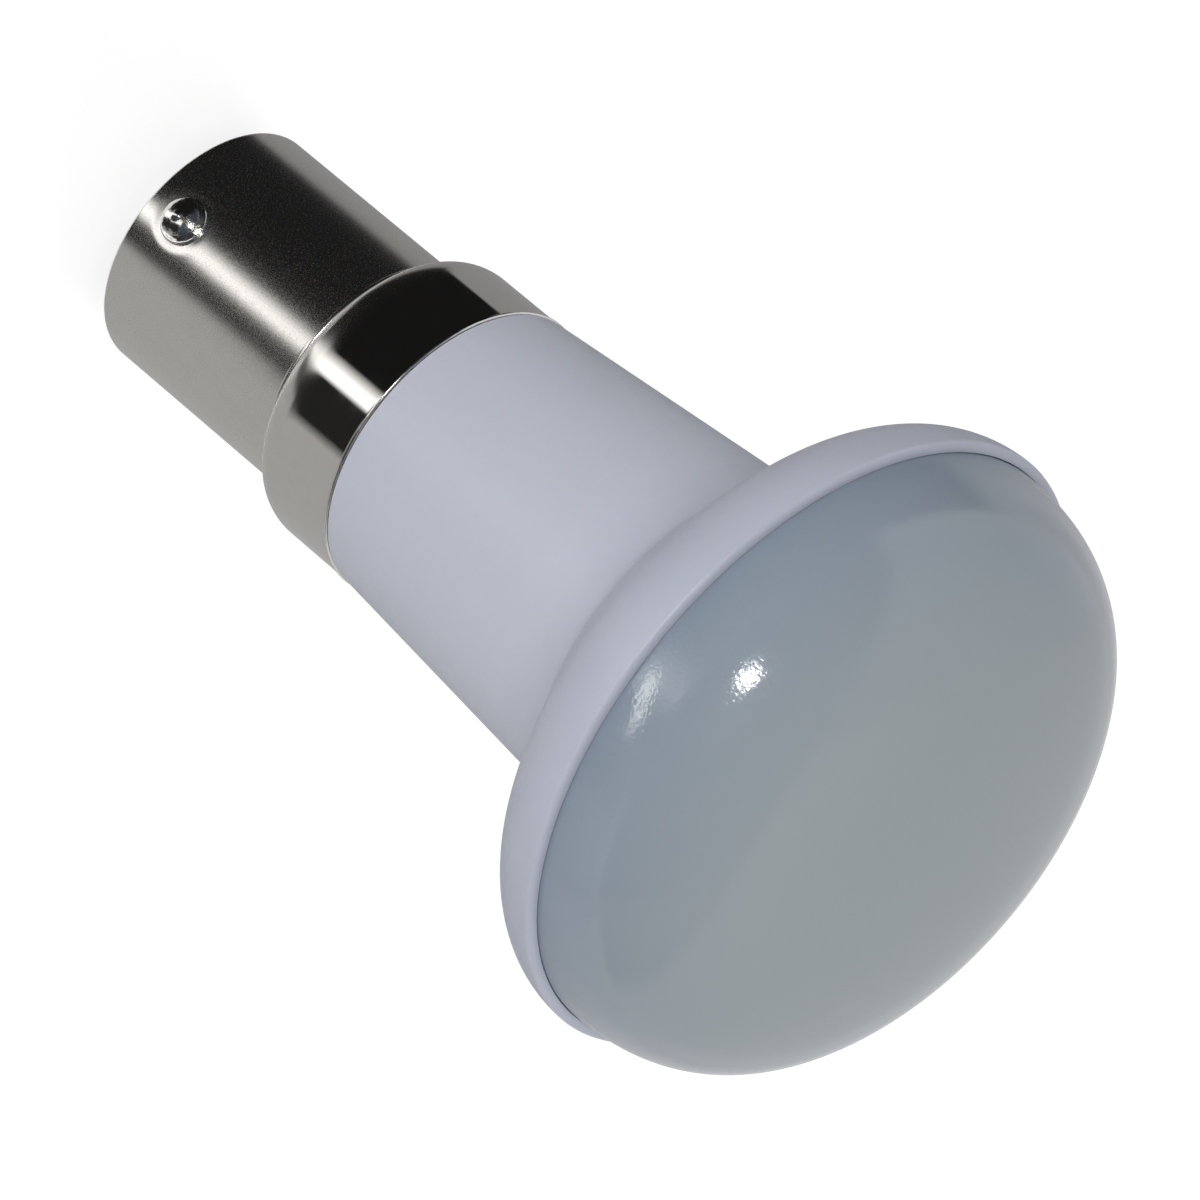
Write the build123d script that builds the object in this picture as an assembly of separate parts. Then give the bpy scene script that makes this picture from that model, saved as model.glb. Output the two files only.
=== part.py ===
from build123d import *
import math
import os

# LED reading lamp with a 15 mm single-contact bayonet cap and a 38 mm flared head.
# Millimetres. +Z runs along the lamp's axis from the cap to the lens, and the origin is on
# that axis, level with the centres of the two bayonet pins, which stand out along -Y and +Y.

# Cap shell, drawn from one sheet
sheet = 0.4
barrel_radius = 7.5
rim_z = -2.8
rim_round = 0.3
rim_opening_radius = 6.3
step_z = rim_z + 14.5
foot_bead_radius = 0.17
shoulder_height = 1.85
skirt_radius = 8.95
lip_z = rim_z + 21.0
lip_flare = 0.07
lip_flare_height = 0.6

# Bayonet pins
pin_radius = 1.1
pin_shank_radius = 0.9
pin_collar_radius = 1.5
pin_collar_height = 0.12
pin_reach = 8.5
pin_dome_height = 0.35
pin_head_radius = 1.4
pin_head_thickness = 0.5

# Insulator and contact at the cap's end; each bulge is a point that the curved side passes
insulator_top_z = -1.6
insulator_bulge = (5.3, -3.75)
insulator_nose_radius = 2.6
insulator_nose_z = -4.8
contact_radius = 2.2
contact_side_z = -5.3
contact_bulge = (1.75, -6.1)
contact_flat_radius = 0.8
contact_tip_z = -6.5
eyelet_radius = 1.0
eyelet_top_z = -0.9

# Housing: spigot in the skirt, tapering neck, flared head
fit_gap = 0.05
spigot_radius = skirt_radius - sheet - fit_gap
spigot_end_z = step_z + 2.6
neck_start_radius = 8.93
neck_edge_round = 0.35
neck_end_radius = 10.53
crease_z = rim_z + 40.4
crease_round = 0.9
head_radius = 19.0
head_edge_radius = 5.36
head_back_angle = 34.34
head_widest_z = rim_z + 49.0
head_top_z = rim_z + 49.3
head_top_round = 0.25
housing_wall = 1.5
bore_start_radius = 6.9
bore_end_radius = 9.0

# Diffuser: one smooth dome, upright at its edge and level at its crown, and a snap skirt.
# The two pulls are how far the dome's curve keeps upright and level, as shares of its rise
# and its radius.
lens_radius = 18.4
lens_seat_depth = 0.4
lens_crown_z = rim_z + 60.0
lens_side_pull = 0.82
lens_crown_pull = 0.59
lens_wall = 1.2
snap_outer_radius = 17.6
snap_inner_radius = 16.5
snap_depth = 1.9
snap_bead_radius = 0.2
snap_collar_height = 1.0
snap_collar_edge = 0.3

# LED deck, from the housing's ledge upwards
ledge_z = rim_z + 46.0
ledge_inner_radius = 15.0
spreader_radius = 16.3
spreader_thickness = 1.2
pad_radius = 15.0
pad_thickness = 0.3
board_radius = 15.7
board_thickness = 1.0
lead_hole_radius = 2.4
lead_hole_spacing = 3.2
lead_bore_radius = 0.7
deck_screw_count = 3
deck_screw_circle = 11.2
deck_screw_start_angle = 90
deck_screw_radius = 0.95
deck_screw_clearance = 0.15
deck_screw_length = 6.0
deck_screw_head_radius = 1.9
deck_screw_head_height = 1.2
deck_screw_head_round = 0.5
deck_screw_slot_width = 0.45
deck_screw_slot_depth = 0.5
deck_screw_slot_turn = 30
boss_radius = 2.3

# LEDs
led_length = 3.5
led_width = 2.8
led_height = 0.7
led_pool_length = 2.6
led_pool_width = 2.0
led_pool_depth = 0.12
led_corner_cut = 0.5
led_corner_depth = 0.15
led_inner_count = 3
led_inner_circle = 5.6
led_outer_count = 9
led_outer_circle = 13.3
led_start_angle = 30

# Driver board; each (width, depth, height) below stands on one of its faces
driver_width = 12.6
driver_thickness = 1.0
driver_start_z = 14.6
driver_end_z = 37.6
driver_corner_round = 0.6
rib_reach = 0.9
rib_width = 1.0
rib_gap = 0.03
block_chamfer = 0.3
leg_overlap = 0.1

# Front face of the driver board
rectifier_size = (4.7, 2.4, 3.9)
rectifier_z = 19.5
rectifier_leg_size = (1.0, 0.4, 0.7)
rectifier_leg_spacing = 2.44
chip_size = (3.9, 1.45, 4.9)
chip_x = -1.2
chip_z = 26.2
chip_leg_size = (0.9, 0.5, 0.4)
chip_leg_pitch = 1.27
chip_legs_per_side = 4
chip_dimple_radius = 0.4
chip_dimple_depth = 0.15
chip_dimple_inset = 0.83
coil_radius = 3.2
coil_core_radius = 1.6
coil_flange_thickness = 0.7
coil_height = 4.4
coil_winding_radius = 2.8
coil_z = 32.2
resistor_size = (1.6, 0.5, 0.8)
resistor_x = 4.3
resistor_start_z = 25.0
resistor_pitch = 1.7
resistor_count = 4

# Rear face of the driver board
input_capacitor_radius = 2.5
input_capacitor_length = 9.0
input_capacitor_z = 22.4
input_capacitor_round = 0.4
capacitor_groove_offset = 1.4
capacitor_groove_radius = 0.3
capacitor_groove_depth = 0.2
output_capacitor_size = (2.5, 1.4, 3.2)
output_capacitor_x = 3.0
output_capacitor_z = 32.6
diode_size = (2.6, 2.0, 4.3)
diode_x = -2.6
diode_z = 31.6

# Leads
lead_radius = 0.5
lead_standoff = 0.15
lead_pad_inset = 1.8
cap_lead_bend = 3.0
centre_lead_x = -2.2
centre_lead_rise_z = 5.0
centre_lead_join_z = 10.5
shell_lead_x = 2.6
shell_lead_middle = (4.4, 1.2, 8.6)
shell_lead_join_z = 11.8
led_lead_bend = 1.5
led_lead_x = 4.2
led_lead_rise = 1.2
led_lead_run = 3.2
led_lead_end = 0.5
solder_radius = 1.0
solder_height = 0.9
solder_tip_radius = 0.35
shell_joint_radius = 1.15
shell_joint_z = 5.2

# How far a cutting form runs past what it cuts
beyond = 1.0

half_board = driver_thickness / 2
low_pad_z = driver_start_z + lead_pad_inset
high_pad_z = driver_end_z - lead_pad_inset
crease_slope = math.tan(math.radians(head_back_angle))
spreader_top_z = ledge_z + spreader_thickness
pad_top_z = spreader_top_z + pad_thickness
board_top_z = pad_top_z + board_thickness
screw_tip_z = board_top_z - deck_screw_length
lens_base_z = head_top_z - lens_seat_depth
snap_bead_z = lens_base_z - snap_depth / 2
shell_joint_x = barrel_radius - sheet - solder_radius


def outline(*runs):
    """A face from runs of (radius, z) edges that close on themselves."""
    return make_face(Wire([edge for run in runs for edge in run.edges()]))


def turned(*runs):
    """A solid of revolution about Z from a closed outline of (radius, z) runs."""
    return revolve(Plane.XZ * outline(*runs), Axis.Z)


def lathe(points):
    """A solid of revolution about Z from straight runs between (radius, z) points."""
    return turned(Polyline(*points, close=True))


def disc(radius, low_z, high_z, x=0, y=0):
    return Pos(x, y, low_z) * Cylinder(
        radius, high_z - low_z, align=(Align.CENTER, Align.CENTER, Align.MIN)
    )


def ring_places(count, radius, start_angle=0):
    """Angle in degrees and centre of equally spaced places on a circle."""
    for index in range(count):
        angle = start_angle + index * 360 / count
        yield angle, radius * math.cos(math.radians(angle)), radius * math.sin(math.radians(angle))


def screw_places():
    return ring_places(deck_screw_count, deck_screw_circle, deck_screw_start_angle)


def led_places():
    yield from ring_places(led_inner_count, led_inner_circle, led_start_angle)
    yield from ring_places(led_outer_count, led_outer_circle, led_start_angle)


def on_board(size, x, z, side):
    """A block that stands on the driver board's front (side -1) or rear face (side 1)."""
    width, depth, height = size
    return Pos(x, side * (half_board + depth / 2), z) * Box(width, depth, height)


def cap_outside():
    """The drawn cap's outer form: barrel, foot bead, rounded shoulder and flared lip."""
    bead_low = step_z - 2 * foot_bead_radius
    shoulder_top = step_z + shoulder_height
    flare_z = lip_z - lip_flare_height
    rim_end = (barrel_radius - rim_round, rim_z)
    barrel_start = (barrel_radius, rim_z + rim_round)
    return turned(
        Line((0, rim_z), rim_end),
        RadiusArc(rim_end, barrel_start, -rim_round),
        Line(barrel_start, (barrel_radius, bead_low)),
        RadiusArc((barrel_radius, bead_low), (barrel_radius, step_z), -foot_bead_radius),
        EllipticalCenterArc(
            (barrel_radius, shoulder_top),
            skirt_radius - barrel_radius,
            shoulder_height,
            start_angle=270,
            arc_size=90,
        ),
        Polyline(
            (skirt_radius, shoulder_top),
            (skirt_radius, flare_z),
            (skirt_radius + lip_flare, lip_z),
            (0, lip_z),
            (0, rim_z),
        ),
    )


def cap_inside():
    """What is hollow in the cap: the rolled-in end's opening, the barrel and the skirt."""
    inner_barrel = barrel_radius - sheet
    inner_skirt = skirt_radius - sheet
    floor_z = rim_z + sheet
    shoulder_low = step_z + sheet
    shoulder_top = step_z + shoulder_height
    low_end = rim_z - beyond
    high_end = lip_z + beyond
    return turned(
        Polyline(
            (0, low_end),
            (rim_opening_radius, low_end),
            (rim_opening_radius, floor_z),
            (inner_barrel, floor_z),
            (inner_barrel, shoulder_low),
        ),
        EllipticalCenterArc(
            (inner_barrel, shoulder_top),
            inner_skirt - inner_barrel,
            shoulder_top - shoulder_low,
            start_angle=270,
            arc_size=90,
        ),
        Polyline((inner_skirt, shoulder_top), (inner_skirt, high_end), (0, high_end), (0, low_end)),
    )


def cap_shell():
    shell = cap_outside() - cap_inside()
    pin_holes = Rot(90, 0, 0) * Cylinder(pin_shank_radius, 4 * barrel_radius)
    return shell - pin_holes


def bayonet_pin(side):
    """A pin riveted through the barrel: inner head, shank, collar and domed end."""
    inner_barrel = barrel_radius - sheet
    head_low = inner_barrel - pin_head_thickness
    wall_middle = barrel_radius - sheet / 2
    collar_top = barrel_radius + pin_collar_height
    dome_start = pin_reach - pin_dome_height
    dome_radius = (pin_radius**2 + pin_dome_height**2) / (2 * pin_dome_height)
    stem = turned(
        Polyline((0, wall_middle), (pin_shank_radius, wall_middle), (pin_shank_radius, collar_top)),
        Polyline((pin_shank_radius, collar_top), (pin_radius, collar_top), (pin_radius, dome_start)),
        RadiusArc((pin_radius, dome_start), (0, pin_reach), -dome_radius),
        Line((0, pin_reach), (0, wall_middle)),
    )
    inside = Rot(90, 0, 0) * Cylinder(inner_barrel, 4 * pin_head_radius)
    outside = Rot(90, 0, 0) * Cylinder(barrel_radius, 4 * pin_head_radius)
    head = disc(pin_head_radius, head_low, wall_middle) & inside
    collar = disc(pin_collar_radius, wall_middle, collar_top) - outside
    shank = disc(pin_shank_radius, head_low, collar_top)
    return Rot(-90 * side, 0, 0) * (stem + shank + head + collar)


def cap_insulator():
    """Pressed glass that fills the cap's end and stands out of it as a blunt cone."""
    inner_barrel = barrel_radius - sheet
    nose_start = (rim_opening_radius, rim_z)
    nose_end = (insulator_nose_radius, insulator_nose_z)
    return turned(
        Polyline(
            nose_end,
            (eyelet_radius, insulator_nose_z),
            (eyelet_radius, insulator_top_z),
            (inner_barrel, insulator_top_z),
            (inner_barrel, rim_z + sheet),
            (rim_opening_radius, rim_z + sheet),
            nose_start,
        ),
        ThreePointArc(nose_start, insulator_bulge, nose_end),
    )


def centre_contact():
    """Eyelet through the insulator with a solder dome that is flat at its tip."""
    side = (contact_radius, contact_side_z)
    flat_edge = (contact_flat_radius, contact_tip_z)
    return turned(
        Polyline(
            flat_edge,
            (0, contact_tip_z),
            (0, eyelet_top_z),
            (eyelet_radius, eyelet_top_z),
            (eyelet_radius, insulator_nose_z),
            (contact_radius, insulator_nose_z),
            side,
        ),
        ThreePointArc(side, contact_bulge, flat_edge),
    )


def housing_outside():
    """Spigot, rounded edge at the cap's lip, tapering neck, crease and flared head."""
    edge_z = lip_z + fit_gap
    arc_centre_radius = head_radius - head_edge_radius
    back = math.radians(head_back_angle)
    tangent = (
        arc_centre_radius + head_edge_radius * math.sin(back),
        head_widest_z - head_edge_radius * math.cos(back),
    )
    spread = math.radians((90 - head_back_angle) / 2)
    arc_middle = (
        arc_centre_radius + head_edge_radius * math.cos(spread),
        head_widest_z - head_edge_radius * math.sin(spread),
    )
    crease = (tangent[0] - (tangent[1] - crease_z) / crease_slope, crease_z)
    edge_start = (neck_start_radius - neck_edge_round, edge_z)
    edge_end = (neck_start_radius, edge_z + neck_edge_round)
    widest = (head_radius, head_widest_z)
    top_round_start = (head_radius, head_top_z - head_top_round)
    top_round_end = (head_radius - head_top_round, head_top_z)
    face = outline(
        Polyline((0, spigot_end_z), (spigot_radius, spigot_end_z), (spigot_radius, edge_z), edge_start),
        RadiusArc(edge_start, edge_end, -neck_edge_round),
        Polyline(edge_end, crease, tangent),
        ThreePointArc(tangent, arc_middle, widest),
        Line(widest, top_round_start),
        RadiusArc(top_round_start, top_round_end, -head_top_round),
        Polyline(top_round_end, (0, head_top_z), (0, spigot_end_z)),
    )
    corner = face.vertices().sort_by_distance(crease + (0,))[0]
    return revolve(Plane.XZ * fillet(corner, crease_round), Axis.Z)


def inner_cone_z(radius):
    """Height of the head's inner back wall at a radius."""
    outer_z = crease_z + (radius - neck_end_radius) * crease_slope
    return outer_z + housing_wall / math.cos(math.radians(head_back_angle))


def housing_cavity():
    """The bore, the head's hollow, the LED deck's ledge and the diffuser's seat."""
    pocket_z = lens_base_z - snap_depth - fit_gap
    low_end = spigot_end_z - beyond
    high_end = head_top_z + beyond
    return lathe(
        [
            (0, low_end),
            (bore_start_radius, low_end),
            (bore_start_radius, spigot_end_z),
            (bore_end_radius, inner_cone_z(bore_end_radius)),
            (ledge_inner_radius, inner_cone_z(ledge_inner_radius)),
            (ledge_inner_radius, ledge_z),
            (spreader_radius + fit_gap, ledge_z),
            (spreader_radius + fit_gap, pocket_z),
            (snap_outer_radius + fit_gap, pocket_z),
            (snap_outer_radius + fit_gap, lens_base_z),
            (lens_radius + fit_gap, lens_base_z),
            (lens_radius + fit_gap, high_end),
            (0, high_end),
        ]
    )


def board_rib(x_side, y_side):
    """One of the four ribs that hold the driver board's long edges."""
    inner_x = driver_width / 2 - rib_reach
    length = bore_end_radius - inner_x + beyond
    height = driver_end_z - spigot_end_z
    x = x_side * (inner_x + length / 2)
    y = y_side * (half_board + rib_gap + rib_width / 2)
    return Pos(x, y, spigot_end_z + height / 2) * Box(length, rib_width, height)


def snap_groove():
    """The groove in the housing that the diffuser's bead snaps into."""
    return Pos(0, 0, snap_bead_z) * Torus(snap_outer_radius, snap_bead_radius + fit_gap)


def housing():
    """One moulding, with ribs that hold the driver board and bosses for the deck's screws."""
    cavity = housing_cavity()
    for x_side in (-1, 1):
        for y_side in (-1, 1):
            cavity -= board_rib(x_side, y_side)
    for _, x, y in screw_places():
        cavity -= disc(boss_radius, crease_z, ledge_z, x, y)
    body = housing_outside() - cavity - snap_groove()
    for _, x, y in screw_places():
        body -= disc(deck_screw_radius, screw_tip_z, ledge_z, x, y)
    return body


def lens_form(inset):
    """The dome's solid form, moved in by an inset."""
    radius = lens_radius - inset
    crown_z = lens_crown_z - inset
    start = (radius, head_top_z)
    upright = (radius, head_top_z + lens_side_pull * (crown_z - head_top_z))
    level = (lens_crown_pull * radius, crown_z)
    crown = (0, crown_z)
    return turned(
        Polyline(crown, (0, lens_base_z), (radius, lens_base_z), start),
        Bezier(start, upright, level, crown),
    )


def diffuser():
    """Frosted dome of one wall thickness with a snap skirt and bead below its edge."""
    skirt_low_z = lens_base_z - snap_depth
    inner_radius = lens_radius - lens_wall
    skirt = disc(snap_outer_radius, skirt_low_z, lens_base_z)
    bead = Pos(0, 0, snap_bead_z) * Torus(snap_outer_radius, snap_bead_radius)
    collar = lathe(
        [
            (snap_inner_radius, lens_base_z),
            (inner_radius, lens_base_z),
            (inner_radius, lens_base_z + snap_collar_height),
            (snap_inner_radius, lens_base_z + snap_collar_edge),
        ]
    )
    bore = disc(snap_inner_radius, skirt_low_z, lens_base_z)
    return lens_form(0) + skirt + bead - (lens_form(lens_wall) - collar) - bore


def drilled_for_screws(plate, low_z, high_z):
    for _, x, y in screw_places():
        plate -= disc(deck_screw_radius + deck_screw_clearance, low_z, high_z, x, y)
    return plate


def heat_spreader():
    plate = disc(spreader_radius, ledge_z, spreader_top_z)
    plate -= disc(lead_hole_radius, ledge_z, spreader_top_z)
    return drilled_for_screws(plate, ledge_z, spreader_top_z)


def thermal_pad():
    pad = disc(pad_radius, spreader_top_z, pad_top_z)
    pad -= disc(lead_hole_radius, spreader_top_z, pad_top_z)
    return drilled_for_screws(pad, spreader_top_z, pad_top_z)


def led_board():
    board = disc(board_radius, pad_top_z, board_top_z)
    for side in (-1, 1):
        board -= disc(lead_bore_radius, pad_top_z, board_top_z, side * lead_hole_spacing / 2)
    return drilled_for_screws(board, pad_top_z, board_top_z)


def board_screws():
    """Three equal pan-head screws that clamp board, pad and spreader to the bosses."""
    screws = []
    head_top = board_top_z + deck_screw_head_height
    for angle, x, y in screw_places():
        head = disc(deck_screw_head_radius, board_top_z, head_top, x, y)
        head = fillet(head.edges().group_by(Axis.Z)[-1], deck_screw_head_round)
        slot = Pos(x, y, head_top) * Rot(0, 0, angle + deck_screw_slot_turn) * Box(
            3 * deck_screw_head_radius, deck_screw_slot_width, 2 * deck_screw_slot_depth
        )
        screws.append(head + disc(deck_screw_radius, screw_tip_z, board_top_z, x, y) - slot)
    return Compound(children=screws)


def led(angle, x, y):
    """One surface-mount LED with a shallow pool for its phosphor, turned to face the axis."""
    half = led_height / 2
    package = Box(led_width, led_length, led_height)
    pool = Pos(0, 0, half) * Box(led_pool_width, led_pool_length, 2 * led_pool_depth)
    cut = Box(led_corner_cut, led_corner_cut, 2 * led_corner_depth)
    corner = Pos(led_width / 2, led_length / 2, half) * Rot(0, 0, 45) * cut
    return Pos(x, y, board_top_z + half) * Rot(0, 0, angle) * (package - pool - corner)


def driver_board():
    length = driver_end_z - driver_start_z
    plate = Pos(0, 0, driver_start_z + length / 2) * Box(driver_width, driver_thickness, length)
    return fillet(plate.edges().filter_by(Axis.Y), driver_corner_round)


def leg_x(body_width, leg_width):
    """How far a leg's middle is from the middle of a body that it stands out of."""
    return body_width / 2 + leg_width / 2 - leg_overlap


def bridge_rectifier():
    """Flat block with four short legs that rest on the board's front face."""
    block = on_board(rectifier_size, 0, rectifier_z, -1)
    block = chamfer(block.edges().group_by(Axis.Y)[0], block_chamfer)
    x = leg_x(rectifier_size[0], rectifier_leg_size[0])
    for x_side in (-1, 1):
        for z_side in (-1, 1):
            z = rectifier_z + z_side * rectifier_leg_spacing / 2
            block += on_board(rectifier_leg_size, x_side * x, z, -1)
    return block


def driver_chip():
    """Eight-legged chip body on the board's front face, with its pin-one dimple."""
    width, depth, height = chip_size
    body = on_board(chip_size, chip_x, chip_z, -1)
    body = chamfer(body.edges().group_by(Axis.Y)[0], block_chamfer)
    dimple_x = chip_x - width / 2 + chip_dimple_inset
    dimple_z = chip_z - height / 2 + chip_dimple_inset
    dimple = Rot(90, 0, 0) * Cylinder(chip_dimple_radius, 2 * chip_dimple_depth)
    body -= Pos(dimple_x, -half_board - depth, dimple_z) * dimple
    x = leg_x(width, chip_leg_size[0])
    for x_side in (-1, 1):
        for index in range(chip_legs_per_side):
            leg_z = chip_z + (index - (chip_legs_per_side - 1) / 2) * chip_leg_pitch
            body += on_board(chip_leg_size, chip_x + x_side * x, leg_z, -1)
    return body


def coil_place(low, high, radius):
    """A disc of the drum coil, whose axis stands on the board's front face."""
    length = high - low
    return Pos(0, -half_board - low - length / 2, coil_z) * Rot(90, 0, 0) * Cylinder(radius, length)


def inductor_core():
    low_flange = coil_place(0, coil_flange_thickness, coil_radius)
    post = coil_place(0, coil_height, coil_core_radius)
    high_flange = coil_place(coil_height - coil_flange_thickness, coil_height, coil_radius)
    return low_flange + post + high_flange


def inductor_winding():
    high_z = coil_height - coil_flange_thickness
    ring = coil_place(coil_flange_thickness, high_z, coil_winding_radius)
    return ring - coil_place(0, coil_height, coil_core_radius)


def chip_resistors():
    """Four equal resistors in a row beside the chip."""
    heights = [resistor_start_z + index * resistor_pitch for index in range(resistor_count)]
    return Compound(children=[on_board(resistor_size, resistor_x, z, -1) for z in heights])


def input_capacitor():
    """Aluminium can that lies along the board's rear face, with a groove near its seal."""
    y = half_board + input_capacitor_radius
    can = Pos(0, y, input_capacitor_z) * Cylinder(input_capacitor_radius, input_capacitor_length)
    can = fillet(can.edges().filter_by(GeomType.CIRCLE), input_capacitor_round)
    groove_z = input_capacitor_z - input_capacitor_length / 2 + capacitor_groove_offset
    groove_circle = input_capacitor_radius + capacitor_groove_radius - capacitor_groove_depth
    return can - Pos(0, y, groove_z) * Torus(groove_circle, capacitor_groove_radius)


def output_capacitor():
    return on_board(output_capacitor_size, output_capacitor_x, output_capacitor_z, 1)


def freewheel_diode():
    body = on_board(diode_size, diode_x, diode_z, 1)
    return chamfer(body.edges().group_by(Axis.Y)[-1], block_chamfer)


def lead(points, bend):
    """An insulated wire: straight runs joined by tangent arcs."""
    path = FilletPolyline(*points, radius=bend)
    direction = Vector(*points[1]) - Vector(*points[0])
    section = Plane(origin=points[0], z_dir=direction) * Circle(lead_radius)
    return sweep(section, path=path)


def lead_y(side):
    """The middle of a lead that runs along one of the driver board's faces."""
    return side * (half_board + lead_standoff + lead_radius)


def centre_lead():
    """From the eyelet up the cap's middle to the board's front face."""
    y = lead_y(-1)
    return lead(
        [
            (0, 0, eyelet_top_z),
            (0, 0, centre_lead_rise_z),
            (centre_lead_x, y, centre_lead_join_z),
            (centre_lead_x, y, low_pad_z),
        ],
        cap_lead_bend,
    )


def shell_lead():
    """From the barrel's inner wall to the board's rear face."""
    y = lead_y(1)
    return lead(
        [
            (shell_joint_x, 0, shell_joint_z),
            shell_lead_middle,
            (shell_lead_x, y, shell_lead_join_z),
            (shell_lead_x, y, low_pad_z),
        ],
        cap_lead_bend,
    )


def led_lead(side):
    """From the driver board's upper end through the spreader and the LED board."""
    x = side * led_lead_x
    y = lead_y(side)
    hole_x = side * lead_hole_spacing / 2
    turn_z = driver_end_z + led_lead_rise
    return lead(
        [
            (x, y, high_pad_z),
            (x, y, turn_z),
            (hole_x, 0, turn_z + led_lead_run),
            (hole_x, 0, board_top_z + led_lead_end),
        ],
        led_lead_bend,
    )


def board_joint(x, z, side):
    """Half a ball of solder on one of the driver board's faces."""
    half = Pos(x, side * (half_board + solder_radius), z) * Box(
        2 * solder_radius, 2 * solder_radius, 2 * solder_radius
    )
    return half & Pos(x, side * half_board, z) * Sphere(solder_radius)


def solder_joints(leads, board):
    """The solder that holds each lead's ends, one solid for each joint."""
    cone = Cone(
        solder_radius,
        solder_tip_radius,
        solder_height,
        align=(Align.CENTER, Align.CENTER, Align.MIN),
    )
    blanks = [Pos(side * lead_hole_spacing / 2, 0, board_top_z) * cone for side in (-1, 1)]
    blanks.append(board_joint(centre_lead_x, low_pad_z, -1))
    blanks.append(board_joint(shell_lead_x, low_pad_z, 1))
    for side in (-1, 1):
        blanks.append(board_joint(side * led_lead_x, high_pad_z, side))
    ball = Pos(shell_joint_x, 0, shell_joint_z) * Sphere(shell_joint_radius)
    blanks.append(ball & disc(barrel_radius - sheet, 0, step_z))
    taken = leads[0] + leads[1] + leads[2] + leads[3] + board
    return Compound(children=[(blank - taken).solids().sort_by(SortBy.VOLUME)[-1] for blank in blanks])


def main():
    os.makedirs("parts", exist_ok=True)
    board = driver_board()
    leads = [centre_lead(), shell_lead(), led_lead(1), led_lead(-1)]
    nodes = {
        "cap_shell": cap_shell(),
        "bayonet_pin_front": bayonet_pin(-1),
        "bayonet_pin_rear": bayonet_pin(1),
        "cap_insulator": cap_insulator(),
        "centre_contact": centre_contact(),
        "housing": housing(),
        "diffuser": diffuser(),
        "heat_spreader": heat_spreader(),
        "thermal_pad": thermal_pad(),
        "led_board": led_board(),
        "board_screws": board_screws(),
        "driver_board": board,
        "bridge_rectifier": bridge_rectifier(),
        "driver_chip": driver_chip(),
        "inductor_core": inductor_core(),
        "inductor_winding": inductor_winding(),
        "input_capacitor": input_capacitor(),
        "output_capacitor": output_capacitor(),
        "freewheel_diode": freewheel_diode(),
        "chip_resistors": chip_resistors(),
        "centre_lead": leads[0],
        "shell_lead": leads[1],
        "led_lead_plus": leads[2],
        "led_lead_minus": leads[3],
        "solder_joints": solder_joints(leads, board),
    }
    for number, place in enumerate(led_places(), start=1):
        nodes[f"led_{number:02d}"] = led(*place)
    for name, solid in nodes.items():
        export_step(solid, f"parts/{name}.step")


if __name__ == "__main__":
    main()
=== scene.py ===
import math

import bmesh
import bpy
from bpy.props import FloatProperty, FloatVectorProperty, IntProperty, PointerProperty
from bpy.types import Operator, Panel, PropertyGroup
from mathutils import Matrix, Vector


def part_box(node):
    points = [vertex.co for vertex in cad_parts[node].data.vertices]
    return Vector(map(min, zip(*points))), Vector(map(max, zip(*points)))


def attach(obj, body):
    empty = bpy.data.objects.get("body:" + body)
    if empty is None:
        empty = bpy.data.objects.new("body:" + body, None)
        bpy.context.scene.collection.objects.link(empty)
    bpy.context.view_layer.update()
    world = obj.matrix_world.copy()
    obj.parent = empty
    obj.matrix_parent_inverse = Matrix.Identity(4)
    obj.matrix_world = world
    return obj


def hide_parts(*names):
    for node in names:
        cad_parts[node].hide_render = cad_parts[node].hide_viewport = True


bl_info = {
    "name": "Bayonet Reading Lamp",
    "version": (1, 0, 0),
    "blender": (4, 5, 0),
    "location": "3D View > Sidebar > Reading Lamp",
    "description": "Builds the finish of an LED reading lamp with a bayonet cap around its solid model",
    "category": "Object",
}

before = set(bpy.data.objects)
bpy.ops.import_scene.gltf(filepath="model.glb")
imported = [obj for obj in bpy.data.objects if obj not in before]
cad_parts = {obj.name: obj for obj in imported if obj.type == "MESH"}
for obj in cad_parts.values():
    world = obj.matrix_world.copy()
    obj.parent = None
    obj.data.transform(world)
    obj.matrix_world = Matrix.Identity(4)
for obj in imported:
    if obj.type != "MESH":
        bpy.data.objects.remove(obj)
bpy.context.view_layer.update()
BODY = "root"
MM = 0.001


def span(node_name, axis=2):
    """Where a node of the solid model starts and ends along an axis, in millimetres."""
    low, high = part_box(node_name)
    return low[axis] / MM, high[axis] / MM


def low_z(node_name):
    return span(node_name)[0]


def high_z(node_name):
    return span(node_name)[1]


def middle(node_name, axis=2):
    return sum(span(node_name, axis)) / 2


def reach(node_name):
    """How far a round node reaches from the lamp's axis, in millimetres."""
    return span(node_name, 0)[1]


# Heights that the solid model gives, in millimetres
RIM_Z = low_z("cap_shell")
LIP_Z = high_z("cap_shell")
SPIGOT_Z = low_z("housing")
HEAD_TOP_Z = high_z("housing")
CROWN_Z = high_z("diffuser")
SNAP_LOW_Z = low_z("diffuser")
LEDGE_Z = low_z("heat_spreader")
BOARD_TOP_Z = high_z("led_board")
FLOOR_Z = low_z("centre_contact")

# The standard length of the cap's barrel, and the height at which its shoulder starts
BARREL_LENGTH = 14.5
STEP_Z = RIM_Z + BARREL_LENGTH


def millimetres(name, description, default, low=0.0, high=100.0):
    return FloatProperty(name=name, description=description, default=default, min=low, max=high)


def share(name, description, default):
    return FloatProperty(
        name=name, description=description, default=default, min=0.0, max=1.0, subtype="FACTOR"
    )


def colour(name, description, default):
    return FloatVectorProperty(
        name=name, description=description, default=default, min=0.0, max=1.0, size=3, subtype="COLOR"
    )


def count(name, description, default, low=1, high=1024):
    return IntProperty(name=name, description=description, default=default, min=low, max=high)


def degrees(name, description, default):
    return FloatProperty(
        name=name, description=description, default=math.radians(default), unit="ROTATION", subtype="ANGLE"
    )


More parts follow.
